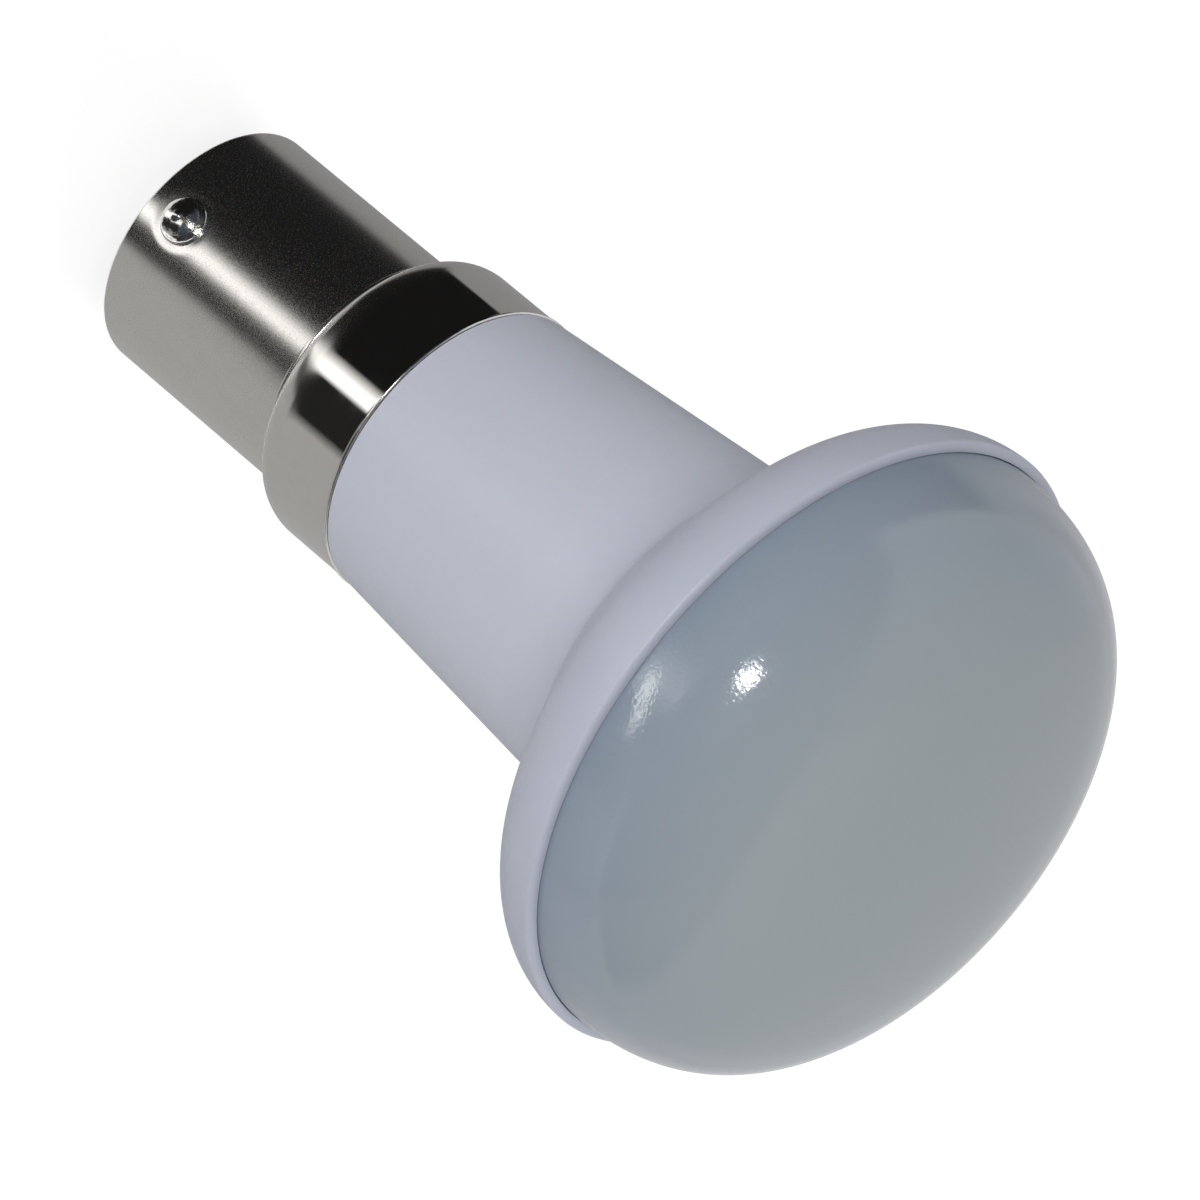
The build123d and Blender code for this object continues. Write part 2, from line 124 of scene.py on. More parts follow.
class CapSettings(PropertyGroup):
    steps: count("Steps Round", "Steps round the cap", 320, 16)
    sheet: millimetres("Sheet", "Thickness of the drawn sheet", 0.4)
    barrel: millimetres("Barrel Radius", "Outer radius of the barrel", 7.5)
    opening: millimetres("Opening Radius", "Radius of the opening in the rolled-in end", 6.3)
    rim_round: millimetres("Rim Round", "Radius of the rounded end corner", 0.3)
    bead: millimetres("Foot Bead", "Radius of the bead at the shoulder's foot", 0.23)
    skirt: millimetres("Skirt Radius", "Outer radius of the skirt", 8.95)
    shoulder: millimetres("Shoulder Height", "Height of the rounded shoulder", 1.85)
    flare: millimetres("Lip Flare Height", "Height of the flared lip", 0.24)
    lip_round: millimetres("Lip Round", "Radius of the lip's burnished corner", 0.13)
    dish_inner: millimetres("Dish Inner Radius", "Where the dish round a pin is deepest", 1.42)
    dish_outer: millimetres("Dish Outer Radius", "Where the dish round a pin ends", 1.95)
    dish_depth: millimetres("Dish Depth", "How deep the barrel is dished round a pin", 0.055)
    plating: colour("Plating", "Colour of the nickel plating", (0.74, 0.715, 0.68))
    barrel_roughness: share("Barrel Roughness", "Roughness of the satin barrel", 0.24)
    edge_roughness: share("Edge Roughness", "Roughness where the shoulder's foot and the lip are worn", 0.5)
    edge_metal: share("Edge Metal", "How metallic the worn line at the shoulder's foot looks", 0.25)
    foot_line: millimetres("Foot Line", "Height of the worn line at the shoulder's foot", 0.75)
    skirt_roughness: share("Skirt Roughness", "Roughness of the polished skirt", 0.055)
    grain: share("Grain", "Strength of the barrel's fine grain", 0.3)


class PinSettings(PropertyGroup):
    steps: count("Steps Round", "Steps round a pin", 64, 12)
    head: millimetres("Inner Head Radius", "Radius of the riveted head inside the barrel", 1.4)
    head_low: millimetres("Inner Head Start", "How far the inner head starts from the axis", 6.6)
    collar: millimetres("Collar Radius", "Radius of the collar on the barrel", 1.38)
    collar_low: millimetres("Collar Start", "How far the collar starts from the axis", 7.2)
    collar_top: millimetres("Collar End", "How far the collar reaches from the axis", 7.6)
    shank: millimetres("Shank Radius", "Radius of the shank in the sheet", 0.9)
    radius: millimetres("Pin Radius", "Radius of the pin", 1.1)
    reach: millimetres("Reach", "How far a pin reaches from the axis", 8.5)
    dome: millimetres("Dome Height", "Height of the pin's domed end", 0.36)
    teat: millimetres("Teat Radius", "Radius of the turned teat on the pin's end", 0.42)
    teat_height: millimetres("Teat Height", "Height of the turned teat", 0.1)
    metal: colour("Metal", "Colour of the pins", (0.72, 0.70, 0.67))


class ContactSettings(PropertyGroup):
    steps: count("Steps Round", "Steps round the insulator and the contact", 128, 16)
    glass: colour("Glass", "Colour of the black glass", (0.018, 0.018, 0.022))
    solder: colour("Solder", "Colour of the solder", (0.62, 0.62, 0.61))


class HousingSettings(PropertyGroup):
    steps: count("Steps Round", "Steps round the housing", 256, 16)
    wall: millimetres("Wall", "Thickness of the head's wall", 1.5)
    neck_start: millimetres("Neck Start Radius", "Radius of the neck at the cap", 8.96)
    neck_round: millimetres("Neck Edge Round", "Radius of the neck's edge at the cap", 0.06)
    crease_height: millimetres("Crease Height", "Height of the crease above the cap's rim", 40.4)
    crease_round: millimetres("Crease Round", "Radius of the crease between neck and head", 0.9)
    head: millimetres("Head Radius", "Largest radius of the head", 19.0)
    head_edge: millimetres("Head Edge Radius", "Radius of the head's rounded edge", 5.36)
    seam: millimetres("Seam", "Gap between the body and the lens", 0.04)
    back_angle: degrees("Back Angle", "Slope of the head's back", 34.34)
    plastic: colour("Plastic", "Colour of the moulded body", (0.495, 0.52, 0.595))
    # Painted shade: a darker copy of the plastic's colour for the head.
    shaded_head_plastic: colour("Shaded Head Plastic", "Colour of the body where it is thickest", (0.44, 0.465, 0.545))
    roughness: share("Roughness", "Roughness of the moulded body", 0.42)
    rib_reach: millimetres("Rib Reach", "How far the ribs lap over the driver board", 0.9)
    rib_width: millimetres("Rib Width", "Width of the ribs beside the driver board", 1.0)
    boss: millimetres("Boss Radius", "Radius of the screw bosses", 2.3)
    pilot: millimetres("Pilot Radius", "Radius of the bosses' pilot holes", 0.95)
    boss_circle: millimetres("Boss Circle", "Radius of the circle of screw bosses", 11.2)
    bosses: count("Bosses", "Number of screw bosses", 3, 1, 12)


class LensSettings(PropertyGroup):
    steps: count("Steps Round", "Steps round the lens", 256, 16)
    radius: millimetres("Radius", "Outer radius of the dome", 18.4)
    wall: millimetres("Wall", "Thickness of the dome", 1.2)
    side_pull: share("Side Pull", "How far the dome keeps upright, as a share of its rise", 0.82)
    crown_pull: share("Crown Pull", "How far the dome keeps level, as a share of its radius", 0.59)
    plastic: colour("Plastic", "Colour of the frosted dome", (0.285, 0.322, 0.343))
    # Painted shade: a darker, bluer copy of the dome's colour for its edge.
    edge: colour("Edge", "Colour of the dome towards its edge", (0.235, 0.28, 0.345))
    roughness: share("Roughness", "Roughness of the frosted dome", 0.085)
    frost: share("Frost", "Strength of the dome's fine frosting", 0.9)


class InsideSettings(PropertyGroup):
    inner_leds: count("Inner LEDs", "LEDs on the inner circle", 3)
    outer_leds: count("Outer LEDs", "LEDs on the outer circle", 9)
    inner_circle: millimetres("Inner Circle", "Radius of the inner circle of LEDs", 5.6)
    outer_circle: millimetres("Outer Circle", "Radius of the outer circle of LEDs", 13.3)
    led_start: degrees("First LED", "Angle of the first LED on each circle", 30)
    phosphor: colour("Phosphor", "Colour of the LEDs' phosphor", (0.86, 0.66, 0.10))
    turns: count("Coil Turns", "Turns of wire that show on the coil", 10)
    copper: colour("Copper", "Colour of the enamelled wire", (0.66, 0.27, 0.11))


class StageSettings(PropertyGroup):
    tilt: degrees("Camera Tilt", "How far the camera looks down on the upright lamp", 31.16)
    heading: degrees("Axis Heading", "Slope of the lamp's axis in the picture", 40.11)
    pin_turn: degrees("Pin Turn", "Turn of the front pin about the axis", 88.3)
    distance: millimetres("Distance", "Distance from the camera to the cap's rim", 500.0, 50.0, 5000.0)
    rim_right: millimetres(
        "Rim Right", "How far right of the view's middle the rim is", -21.563, -200.0, 200.0
    )
    rim_down: millimetres(
        "Rim Down", "How far below the view's middle the rim is", -19.414, -200.0, 200.0
    )
    scale: FloatProperty(name="Scale", description="Pixels to a millimetre at the rim", default=18.168)
    floor: colour("Floor", "Colour of the floor", (0.86, 0.86, 0.86))
    ambient: FloatProperty(name="Ambient", description="Strength of the even light", default=0.30)
    key: FloatProperty(name="Key", description="Power of the soft key lamp in watts", default=1.6)
    fill: FloatProperty(name="Fill", description="Power of the soft fill lamp in watts", default=0.42)
    top: FloatProperty(name="Top", description="Power of the soft top lamp in watts", default=1.2)
    flash: FloatProperty(name="Flash", description="Power of the small lamp in watts", default=0.5)


# Outlines are lists of (radius, height) points in millimetres. A straight run has a support
# point close to each end, so that the shading of a round beside it stays there.
SUPPORT = 0.05
REPEATED = 1e-4  # points of an outline nearer than this are one


def straight(start, end, rows=0):
    """A run with its two support points, and rows of points between them."""
    length = math.dist(start, end)
    near = min(SUPPORT, length / 4) / length
    shares = [0.0, near] + [row / (rows + 1) for row in range(1, rows + 1)] + [1 - near, 1.0]
    return [tuple(a + (b - a) * part for a, b in zip(start, end)) for part in shares]


def path(*corners):
    """Straight runs from corner to corner."""
    return [point for run in zip(corners, corners[1:]) for point in straight(*run)]


def arc(centre, radii, start, end, steps):
    """Points of a round or elliptical arc; angles in degrees from the radius axis."""
    across, up = radii if isinstance(radii, tuple) else (radii, radii)
    angles = [math.radians(start + (end - start) * step / steps) for step in range(steps + 1)]
    return [(centre[0] + across * math.cos(a), centre[1] + up * math.sin(a)) for a in angles]


def arc_through(start, middle, end, steps):
    """Points of the circular arc from start through middle to end."""
    (ax, ay), (bx, by), (cx, cy) = start, middle, end
    twice = 2 * (ax * (by - cy) + bx * (cy - ay) + cx * (ay - by))
    a2, b2, c2 = ax * ax + ay * ay, bx * bx + by * by, cx * cx + cy * cy
    centre = (
        (a2 * (by - cy) + b2 * (cy - ay) + c2 * (ay - by)) / twice,
        (a2 * (cx - bx) + b2 * (ax - cx) + c2 * (bx - ax)) / twice,
    )
    first = math.degrees(math.atan2(ay - centre[1], ax - centre[0]))
    last = math.degrees(math.atan2(cy - centre[1], cx - centre[0]))
    turn = (last - first + 180) % 360 - 180
    return arc(centre, math.dist(centre, start), first, first + turn, steps)


def rounded_corner(before, corner, after, radius, steps):
    """Points of the arc that rounds a corner between two straight runs."""
    corner = Vector(corner)
    back = (Vector(before) - corner).normalized()
    on = (Vector(after) - corner).normalized()
    half = back.angle(on) / 2
    start = corner + back * radius / math.tan(half)
    end = corner + on * radius / math.tan(half)
    centre = corner + (back + on).normalized() * radius / math.sin(half)
    middle = centre + (corner - centre).normalized() * radius
    return arc_through(tuple(start), tuple(middle), tuple(end), steps)


def bezier(start, first, second, end, steps):
    """Points of a curve that leaves towards the first handle and comes in from the second."""
    points = []
    for step in range(steps + 1):
        t = step / steps
        weights = ((1 - t) ** 3, 3 * (1 - t) ** 2 * t, 3 * (1 - t) * t * t, t**3)
        points.append(
            tuple(sum(w * p[axis] for w, p in zip(weights, (start, first, second, end))) for axis in (0, 1))
        )
    return points


def node(tree, kind, values=None, **settings):
    """Adds a node; values sets or links its inputs by name or number."""
    made = tree.nodes.new(kind)
    for name, value in settings.items():
        setattr(made, name, value)
    for key, value in (values or {}).items():
        if isinstance(value, bpy.types.NodeSocket):
            tree.links.new(value, made.inputs[key])
        else:
            made.inputs[key].default_value = value
    return made


def maths(tree, operation, first, *others):
    """A Math node, or a chain of them for more than two values."""
    if not others:
        return node(tree, "ShaderNodeMath", {0: first}, operation=operation).outputs[0]
    for other in others:
        first = node(tree, "ShaderNodeMath", {0: first, 1: other}, operation=operation).outputs[0]
    return first


def hypotenuse(tree, first, second):
    """The length whose two parts are given."""
    squares = [maths(tree, "MULTIPLY", side, side) for side in (first, second)]
    return maths(tree, "SQRT", maths(tree, "ADD", *squares))


def ranged(tree, value, from_low, from_high, to_low=0.0, to_high=1.0, **settings):
    """Carries a value from one range over to another, and holds it at the ends."""
    return node(
        tree,
        "ShaderNodeMapRange",
        {"Value": value, "From Min": from_low, "From Max": from_high, "To Min": to_low, "To Max": to_high},
        **settings,
    ).outputs[0]


def blend_of(tree, part, first, second):
    """A number between two, or a colour between two."""
    if isinstance(first, tuple) or getattr(first, "type", "VALUE") == "RGBA":
        return node(tree, "ShaderNodeMix", {0: part, 6: first, 7: second}, data_type="RGBA").outputs[2]
    return node(tree, "ShaderNodeMix", {0: part, 2: first, 3: second}, data_type="FLOAT").outputs[0]


def point_on_circle(tree, radius, angle, height):
    across = maths(tree, "MULTIPLY", radius, maths(tree, "COSINE", angle))
    along = maths(tree, "MULTIPLY", radius, maths(tree, "SINE", angle))
    return node(tree, "ShaderNodeCombineXYZ", {"X": across, "Y": along, "Z": height}).outputs[0]


def new_group(name, kind, inputs, outputs):
    """A node group, with the sockets of its given values and of its results."""
    tree = bpy.data.node_groups.new(name, kind)
    for label, socket_type, default in inputs:
        socket = tree.interface.new_socket(label, in_out="INPUT", socket_type="NodeSocket" + socket_type)
        if default is not None:
            socket.default_value = default
    for label, socket_type in outputs:
        tree.interface.new_socket(label, in_out="OUTPUT", socket_type="NodeSocket" + socket_type)
    return tree, tree.nodes.new("NodeGroupInput").outputs, tree.nodes.new("NodeGroupOutput").inputs


# Geometry trees

SHARP = math.radians(32)
SAME_PLACE = 1e-6  # points nearer than this, in metres, are one


def finished(tree, geometry, material):
    """Smooth faces with sharp corners, made real and given their material."""
    smooth = node(tree, "GeometryNodeSetShadeSmooth", {"Geometry": geometry})
    angle = node(tree, "GeometryNodeInputMeshEdgeAngle").outputs["Unsigned Angle"]
    corner = maths(tree, "GREATER_THAN", angle, SHARP)
    cornered = node(
        tree,
        "GeometryNodeSetShadeSmooth",
        {"Geometry": smooth.outputs[0], "Selection": corner, "Shade Smooth": False},
        domain="EDGE",
    )
    real = node(tree, "GeometryNodeRealizeInstances", {"Geometry": cornered.outputs[0]})
    return node(
        tree, "GeometryNodeSetMaterial", {"Geometry": real.outputs[0], "Material": material}
    ).outputs[0]


def turned_tree():
    """Turns the outline that the object holds, point by point, about the lamp's axis."""
    tree, given, result = new_group(
        "turned_form",
        "GeometryNodeTree",
        [
            ("Outline", "Geometry", None),
            ("Points", "Int", 2),
            ("Steps", "Int", 64),
            ("Lay Over", "Rotation", None),
            ("Dish Inner", "Float", 0.0),
            ("Dish Outer", "Float", 0.0),
            ("Dish Depth", "Float", 0.0),
            ("Material", "Material", None),
        ],
        [("Mesh", "Geometry")],
    )
    rounds = maths(tree, "ADD", given["Steps"], 1.0)
    grid = node(
        tree, "GeometryNodeMeshGrid", {"Vertices X": given["Points"], "Vertices Y": rounds}
    ).outputs["Mesh"]
    index = node(tree, "GeometryNodeInputIndex").outputs[0]
    row = maths(tree, "FLOOR", maths(tree, "DIVIDE", maths(tree, "ADD", index, 0.5), rounds))
    step = maths(tree, "SUBTRACT", index, maths(tree, "MULTIPLY", row, rounds))
    place = node(tree, "GeometryNodeInputPosition").outputs[0]
    sample = node(
        tree,
        "GeometryNodeSampleIndex",
        {"Geometry": given["Outline"], "Value": place, "Index": row},
        data_type="FLOAT_VECTOR",
        domain="POINT",
    )
    flat = node(tree, "ShaderNodeSeparateXYZ", {0: sample.outputs[0]}).outputs
    angle = maths(tree, "DIVIDE", maths(tree, "MULTIPLY", step, 2 * math.pi), given["Steps"])
    radius = maths(tree, "SUBTRACT", flat["X"], dish_field(tree, given, flat, angle))
    point = point_on_circle(tree, radius, angle, flat["Z"])
    set_place = node(tree, "GeometryNodeSetPosition", {"Geometry": grid, "Position": point})
    merged = node(
        tree, "GeometryNodeMergeByDistance", {"Geometry": set_place.outputs[0], "Distance": SAME_PLACE}
    )
    laid = node(
        tree, "GeometryNodeTransform", {"Geometry": merged.outputs[0], "Rotation": given["Lay Over"]}
    )
    tree.links.new(finished(tree, laid.outputs[0], given["Material"]), result[0])
    return tree


def dish_field(tree, given, flat, angle):
    """How far the wall is pressed in round the two pins, by the distance from a pin's axis."""
    side = maths(tree, "MULTIPLY", flat["X"], maths(tree, "COSINE", angle))
    away = hypotenuse(tree, side, flat["Z"])
    outer, inner, depth = (given[label] for label in ("Dish Outer", "Dish Inner", "Dish Depth"))
    return ranged(tree, away, outer, inner, 0.0, depth, interpolation_type="SMOOTHSTEP")


def two_circles_tree():
    """Sets a piece at equal steps round an inner and an outer circle, turned to face the axis."""
    tree, given, result = new_group(
        "two_circles",
        "GeometryNodeTree",
        [
            ("Piece", "Geometry", None),
            ("Inner Count", "Int", 3),
            ("Outer Count", "Int", 9),
            ("Inner Circle", "Float", 0.0),
            ("Outer Circle", "Float", 0.0),
            ("Start", "Float", 0.0),
            ("Height", "Float", 0.0),
            ("Material", "Material", None),
        ],
        [("Mesh", "Geometry")],
    )
    index = node(tree, "GeometryNodeInputIndex").outputs[0]
    outer = maths(tree, "GREATER_THAN", maths(tree, "ADD", index, 0.5), given["Inner Count"])
    place = maths(tree, "SUBTRACT", index, maths(tree, "MULTIPLY", outer, given["Inner Count"]))
    many = blend_of(tree, outer, given["Inner Count"], given["Outer Count"])
    radius = blend_of(tree, outer, given["Inner Circle"], given["Outer Circle"])
    turn = maths(tree, "DIVIDE", maths(tree, "MULTIPLY", place, 2 * math.pi), many)
    angle = maths(tree, "ADD", turn, given["Start"])
    point = point_on_circle(tree, radius, angle, given["Height"])
    both = maths(tree, "ADD", given["Inner Count"], given["Outer Count"])
    points = node(tree, "GeometryNodePoints", {"Count": both, "Position": point}).outputs[0]
    facing = node(tree, "ShaderNodeCombineXYZ", {"Z": angle}).outputs[0]
    placed = node(
        tree,
        "GeometryNodeInstanceOnPoints",
        {"Points": points, "Instance": given["Piece"], "Rotation": facing},
    )
    tree.links.new(finished(tree, placed.outputs[0], given["Material"]), result[0])
    return tree


def grown(name, mesh, tree, values):
    """The plain mesh that a geometry tree grows from a mesh, as a piece that rides on the lamp."""
    seed = linked(name + "_seed", mesh)
    modifier = seed.modifiers.new(tree.name, "NODES")
    modifier.node_group = tree
    sockets = {s.name: s.identifier for s in tree.interface.items_tree if s.in_out == "INPUT"}
    for label, value in values.items():
        modifier[sockets[label]] = value
    graph = bpy.context.evaluated_depsgraph_get()
    plain = bpy.data.meshes.new_from_object(seed.evaluated_get(graph), depsgraph=graph)
    seed.modifiers.remove(modifier)
    bpy.data.objects.remove(seed)
    outward(plain)
    plain.name = name
    return piece(name, plain)


def outward(mesh):
    """Turns every face of a closed mesh to point out of its material."""
    work = bmesh.new()
    work.from_mesh(mesh)
    bmesh.ops.recalc_face_normals(work, faces=work.faces)
    work.to_mesh(mesh)
    work.free()


def linked(name, data):
    """An object with the data given, put into the scene."""
    made = bpy.data.objects.new(name, data)
    bpy.context.scene.collection.objects.link(made)
    return made


def piece(name, mesh):
    """A piece of the lamp, which rides on its one body."""
    made = linked(name, mesh)
    if not mesh.polygons:
        raise RuntimeError(f"{name} has no faces")
    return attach(made, BODY)


def outline_mesh(name, points):
    """The outline as a chain of points, in metres, without repeated ones."""
    kept = [points[0]]
    for point in points[1:]:
        if math.dist(point, kept[-1]) > REPEATED:
            kept.append(point)
    mesh = bpy.data.meshes.new(name + "_outline")
    mesh.from_pydata(
        [(radius * MM, 0.0, height * MM) for radius, height in kept],
        [(at, at + 1) for at in range(len(kept) - 1)],
        [],
    )
    return mesh


def turned(name, points, steps, material, lay_over=0.0, dish=(0.0, 0.0, 0.0)):
    """A piece turned about the lamp's axis, or about a pin's when it is laid over."""
    tree = bpy.data.node_groups.get("turned_form") or turned_tree()
    mesh = outline_mesh(name, points)
    inner, outer, depth = dish
    values = {
        "Points": len(mesh.vertices),
        "Steps": steps,
        "Lay Over": (lay_over, 0.0, 0.0),
        "Dish Inner": inner * MM,
        "Dish Outer": outer * MM,
        "Dish Depth": depth * MM,
        "Material": material,
    }
    return grown(name, mesh, tree, values)


def on_circles(name, mesh, counts, circles, start, height, material):
    """A piece repeated round an inner and an outer circle."""
    tree = bpy.data.node_groups.get("two_circles") or two_circles_tree()
    values = {
        "Inner Count": counts[0],
        "Outer Count": counts[1],
        "Inner Circle": circles[0] * MM,
        "Outer Circle": circles[1] * MM,
        "Start": start,
        "Height": height * MM,
        "Material": material,
    }
    return grown(name, mesh, tree, values)


def on_leds(name, mesh, height, material):
    """A piece repeated at every LED."""
    inside = bpy.context.scene.lamp_inside
    counts = (inside.inner_leds, inside.outer_leds)
    circles = (inside.inner_circle, inside.outer_circle)
    return on_circles(name, mesh, counts, circles, inside.led_start, height, material)


def stacked(name, *stacks):
    """Closed forms, each through rings of equally many (x, y, z) points in millimetres."""
    points, faces = [], []
    for rings in stacks:
        base, around = len(points), len(rings[0])
        points += [tuple(part * MM for part in point) for ring in rings for point in ring]
        for level in range(len(rings) - 1):
            low, high = base + level * around, base + (level + 1) * around
            for at in range(around):
                on = (at + 1) % around
                faces.append((low + at, low + on, high + on, high + at))
        faces.append(tuple(range(base + around - 1, base - 1, -1)))
        top = base + (len(rings) - 1) * around
        faces.append(tuple(range(top, top + around)))
    mesh = bpy.data.meshes.new(name)
    mesh.from_pydata(points, [], faces)
    outward(mesh)
    return mesh


LEAST_CORNER = 0.02


def pillow(half_x, half_y, low, levels, steps=12, corner=0.35):
    """Rings of a rounded rectangle, each level given as (how far inwards, height above low)."""
    rings = []
    for inset, rise in levels:
        ring = []
        for x_side, y_side, first in ((1, 1, 0), (-1, 1, 90), (-1, -1, 180), (1, -1, 270)):
            centre = (x_side * (half_x - corner), y_side * (half_y - corner))
            radius = max(LEAST_CORNER, corner - inset)
            for x, y in arc(centre, radius, first, first + 90, steps):
                ring.append((x, y, low + rise))
        rings.append(ring)
    return rings


# Shared surface effects

NEAR_MM = 1000.0  # a noise scale of this many cells to a metre has one cell to a millimetre
NOISE_SPAN = (0.3, 0.7)  # most of a noise's values lie between these


def noise(tree, scale, detail=2.0):
    """A noise on the object's own coordinates."""
    place = node(tree, "ShaderNodeTexCoord").outputs["Object"]
    return node(
        tree, "ShaderNodeTexNoise", {"Vector": place, "Scale": scale, "Detail": detail}
    ).outputs["Fac"]


def own_place(tree):
    """The x, y and z of a point in the object's own coordinates."""
    place = node(tree, "ShaderNodeTexCoord").outputs["Object"]
    return node(tree, "ShaderNodeSeparateXYZ", {0: place}).outputs


def grain_group():
    """Fine even grain: a value between two ends, and a height."""
    tree, given, result = new_group(
        "fine_grain",
        "ShaderNodeTree",
        [
            ("Cells", "Float", NEAR_MM),
            ("Low", "Float", 0.3),
            ("High", "Float", 0.4),
        ],
        [("Value", "Float"), ("Height", "Float")],
    )
    fine = noise(tree, given["Cells"], 3.0)
    value = ranged(tree, fine, *NOISE_SPAN, given["Low"], given["High"])
    tree.links.new(value, result["Value"])
    tree.links.new(fine, result["Height"])
    return tree


def mottle_group():
    """A colour that wanders a little towards a second one."""
    tree, given, result = new_group(
        "soft_mottle",
        "ShaderNodeTree",
        [
            ("Colour", "Color", (0.5, 0.5, 0.5, 1.0)),
            ("Second", "Color", (0.5, 0.5, 0.5, 1.0)),
            ("Cells", "Float", NEAR_MM),
            ("Amount", "Float", 0.5),
        ],
        [("Colour", "Color")],
    )
    wander = ranged(tree, noise(tree, given["Cells"], 4.0), *NOISE_SPAN)
    part = maths(tree, "MULTIPLY", wander, given["Amount"])
    tree.links.new(blend_of(tree, part, given["Colour"], given["Second"]), result["Colour"])
    return tree


def ridge_group():
    """Fine rings about the lamp's axis, as turning or moulding leaves them."""
    tree, given, result = new_group(
        "fine_rings",
        "ShaderNodeTree",
        [("Rings", "Float", NEAR_MM)],
        [("Height", "Float")],
    )
    place = own_place(tree)
    radius = hypotenuse(tree, place["X"], place["Y"])
    spread = maths(tree, "MULTIPLY", maths(tree, "ADD", radius, place["Z"]), given["Rings"])
    uneven = node(
        tree, "ShaderNodeTexNoise", {"W": spread, "Scale": 1.0, "Detail": 2.0}, noise_dimensions="1D"
    ).outputs["Fac"]
    tree.links.new(uneven, result["Height"])
    return tree


GROUPS = {"fine_grain": grain_group, "soft_mottle": mottle_group, "fine_rings": ridge_group}


def effect_node(tree, name, values):
    """Places one of the shared effects in a material and gives its outputs."""
    group = bpy.data.node_groups.get(name) or GROUPS[name]()
    return node(tree, "ShaderNodeGroup", values, node_tree=group).outputs


def rgba(value, shade=1.0):
    return tuple(min(1.0, part * shade) for part in value) + (1.0,)


def bump(tree, height, strength, depth_mm):
    return node(
        tree, "ShaderNodeBump", {"Height": height, "Strength": strength, "Distance": depth_mm * MM}
    ).outputs[0]


def cleared(owner):
    """The empty node tree of a material or a world."""
    owner.use_nodes = True
    owner.node_tree.nodes.clear()
    return owner.node_tree


def surface(name, values):
    """A material with a Principled shader, whose sockets take the values or links given."""
    material = bpy.data.materials.new(name)
    tree = cleared(material)
    shader = node(tree, "ShaderNodeBsdfPrincipled", values(tree))
    node(tree, "ShaderNodeOutputMaterial", {"Surface": shader.outputs[0]})
    return material


def mottled(tree, base, amount=0.5, cells_per_mm=0.4, second=0.88):
    """A colour that wanders towards a darker shade of itself."""
    cells = cells_per_mm * NEAR_MM
    values = {"Colour": rgba(base), "Second": rgba(base, second), "Cells": cells, "Amount": amount}
    return effect_node(tree, "soft_mottle", values)["Colour"]


def grained(tree, low, high, cells_per_mm):
    return effect_node(
        tree, "fine_grain", {"Cells": cells_per_mm * NEAR_MM, "Low": low, "High": high}
    )


def height_above(tree, level_mm, blend_mm):
    """0 below a height and 1 above it, with a short blend."""
    return ranged(tree, own_place(tree)["Z"], (level_mm - blend_mm) * MM, level_mm * MM)


def height_below(tree, level_mm, blend_mm):
    """1 below a height and 0 above it, with a short blend."""
    return maths(tree, "SUBTRACT", 1.0, height_above(tree, level_mm, blend_mm))


def beyond(tree, axis, centre_mm, half_mm):
    """1 farther than a distance from a plane across one axis, and 0 nearer."""
    blend_mm = 0.02
    away = maths(tree, "ABSOLUTE", maths(tree, "SUBTRACT", own_place(tree)[axis], centre_mm * MM))
    return ranged(tree, away, (half_mm - blend_mm) * MM, (half_mm + blend_mm) * MM)


def ended_finish(name, body, ends, axis, centre_mm, half_mm, low=0.5, high=0.65):
    """A moulded or fired body with bare metal beyond a distance along one axis."""

    def values(tree):
        bare = beyond(tree, axis, centre_mm, half_mm)
        grain = grained(tree, low, high, 8.0)
        moulded = mottled(tree, body, 0.6, 1.5, 0.8)
        bare_roughness = 0.32
        return {
            "Base Color": blend_of(tree, bare, moulded, mottled(tree, ends, 0.5, 2.5)),
            "Metallic": bare,
            "Roughness": blend_of(tree, bare, grain["Value"], bare_roughness),
            "Normal": bump(tree, grain["Height"], 0.25, 0.01),
        }

    return surface(name, values)


def tracked_finish(name, mask, mask_colour, copper, axes, cell_mm):
    """A circuit board: solder mask over raised tracks that run in straight lines."""

    def values(tree):
        place = own_place(tree)
        flat = node(tree, "ShaderNodeCombineXYZ", {"X": place[axes[0]], "Y": place[axes[1]]}).outputs[0]
        tracks = node(
            tree,
            "ShaderNodeTexBrick",
            {
                "Vector": flat,
                "Scale": NEAR_MM / cell_mm,
                "Mortar Size": 0.045,
                "Mortar Smooth": 0.3,
                "Brick Width": 1.7,
                "Row Height": 0.6,
            },
            offset=0.37,
        ).outputs["Fac"]
        grain = grained(tree, mask, mask + 0.1, 9.0)
        grain_share = 0.1
        height = maths(tree, "ADD", maths(tree, "MULTIPLY", grain["Height"], grain_share), tracks)
        plain = mottled(tree, mask_colour, 0.5, 0.8, 0.92)
        return {
            "Base Color": blend_of(tree, tracks, plain, mottled(tree, copper)),
            "Roughness": grain["Value"],
            "Normal": bump(tree, height, 0.5, 0.03),
        }

    return surface(name, values)


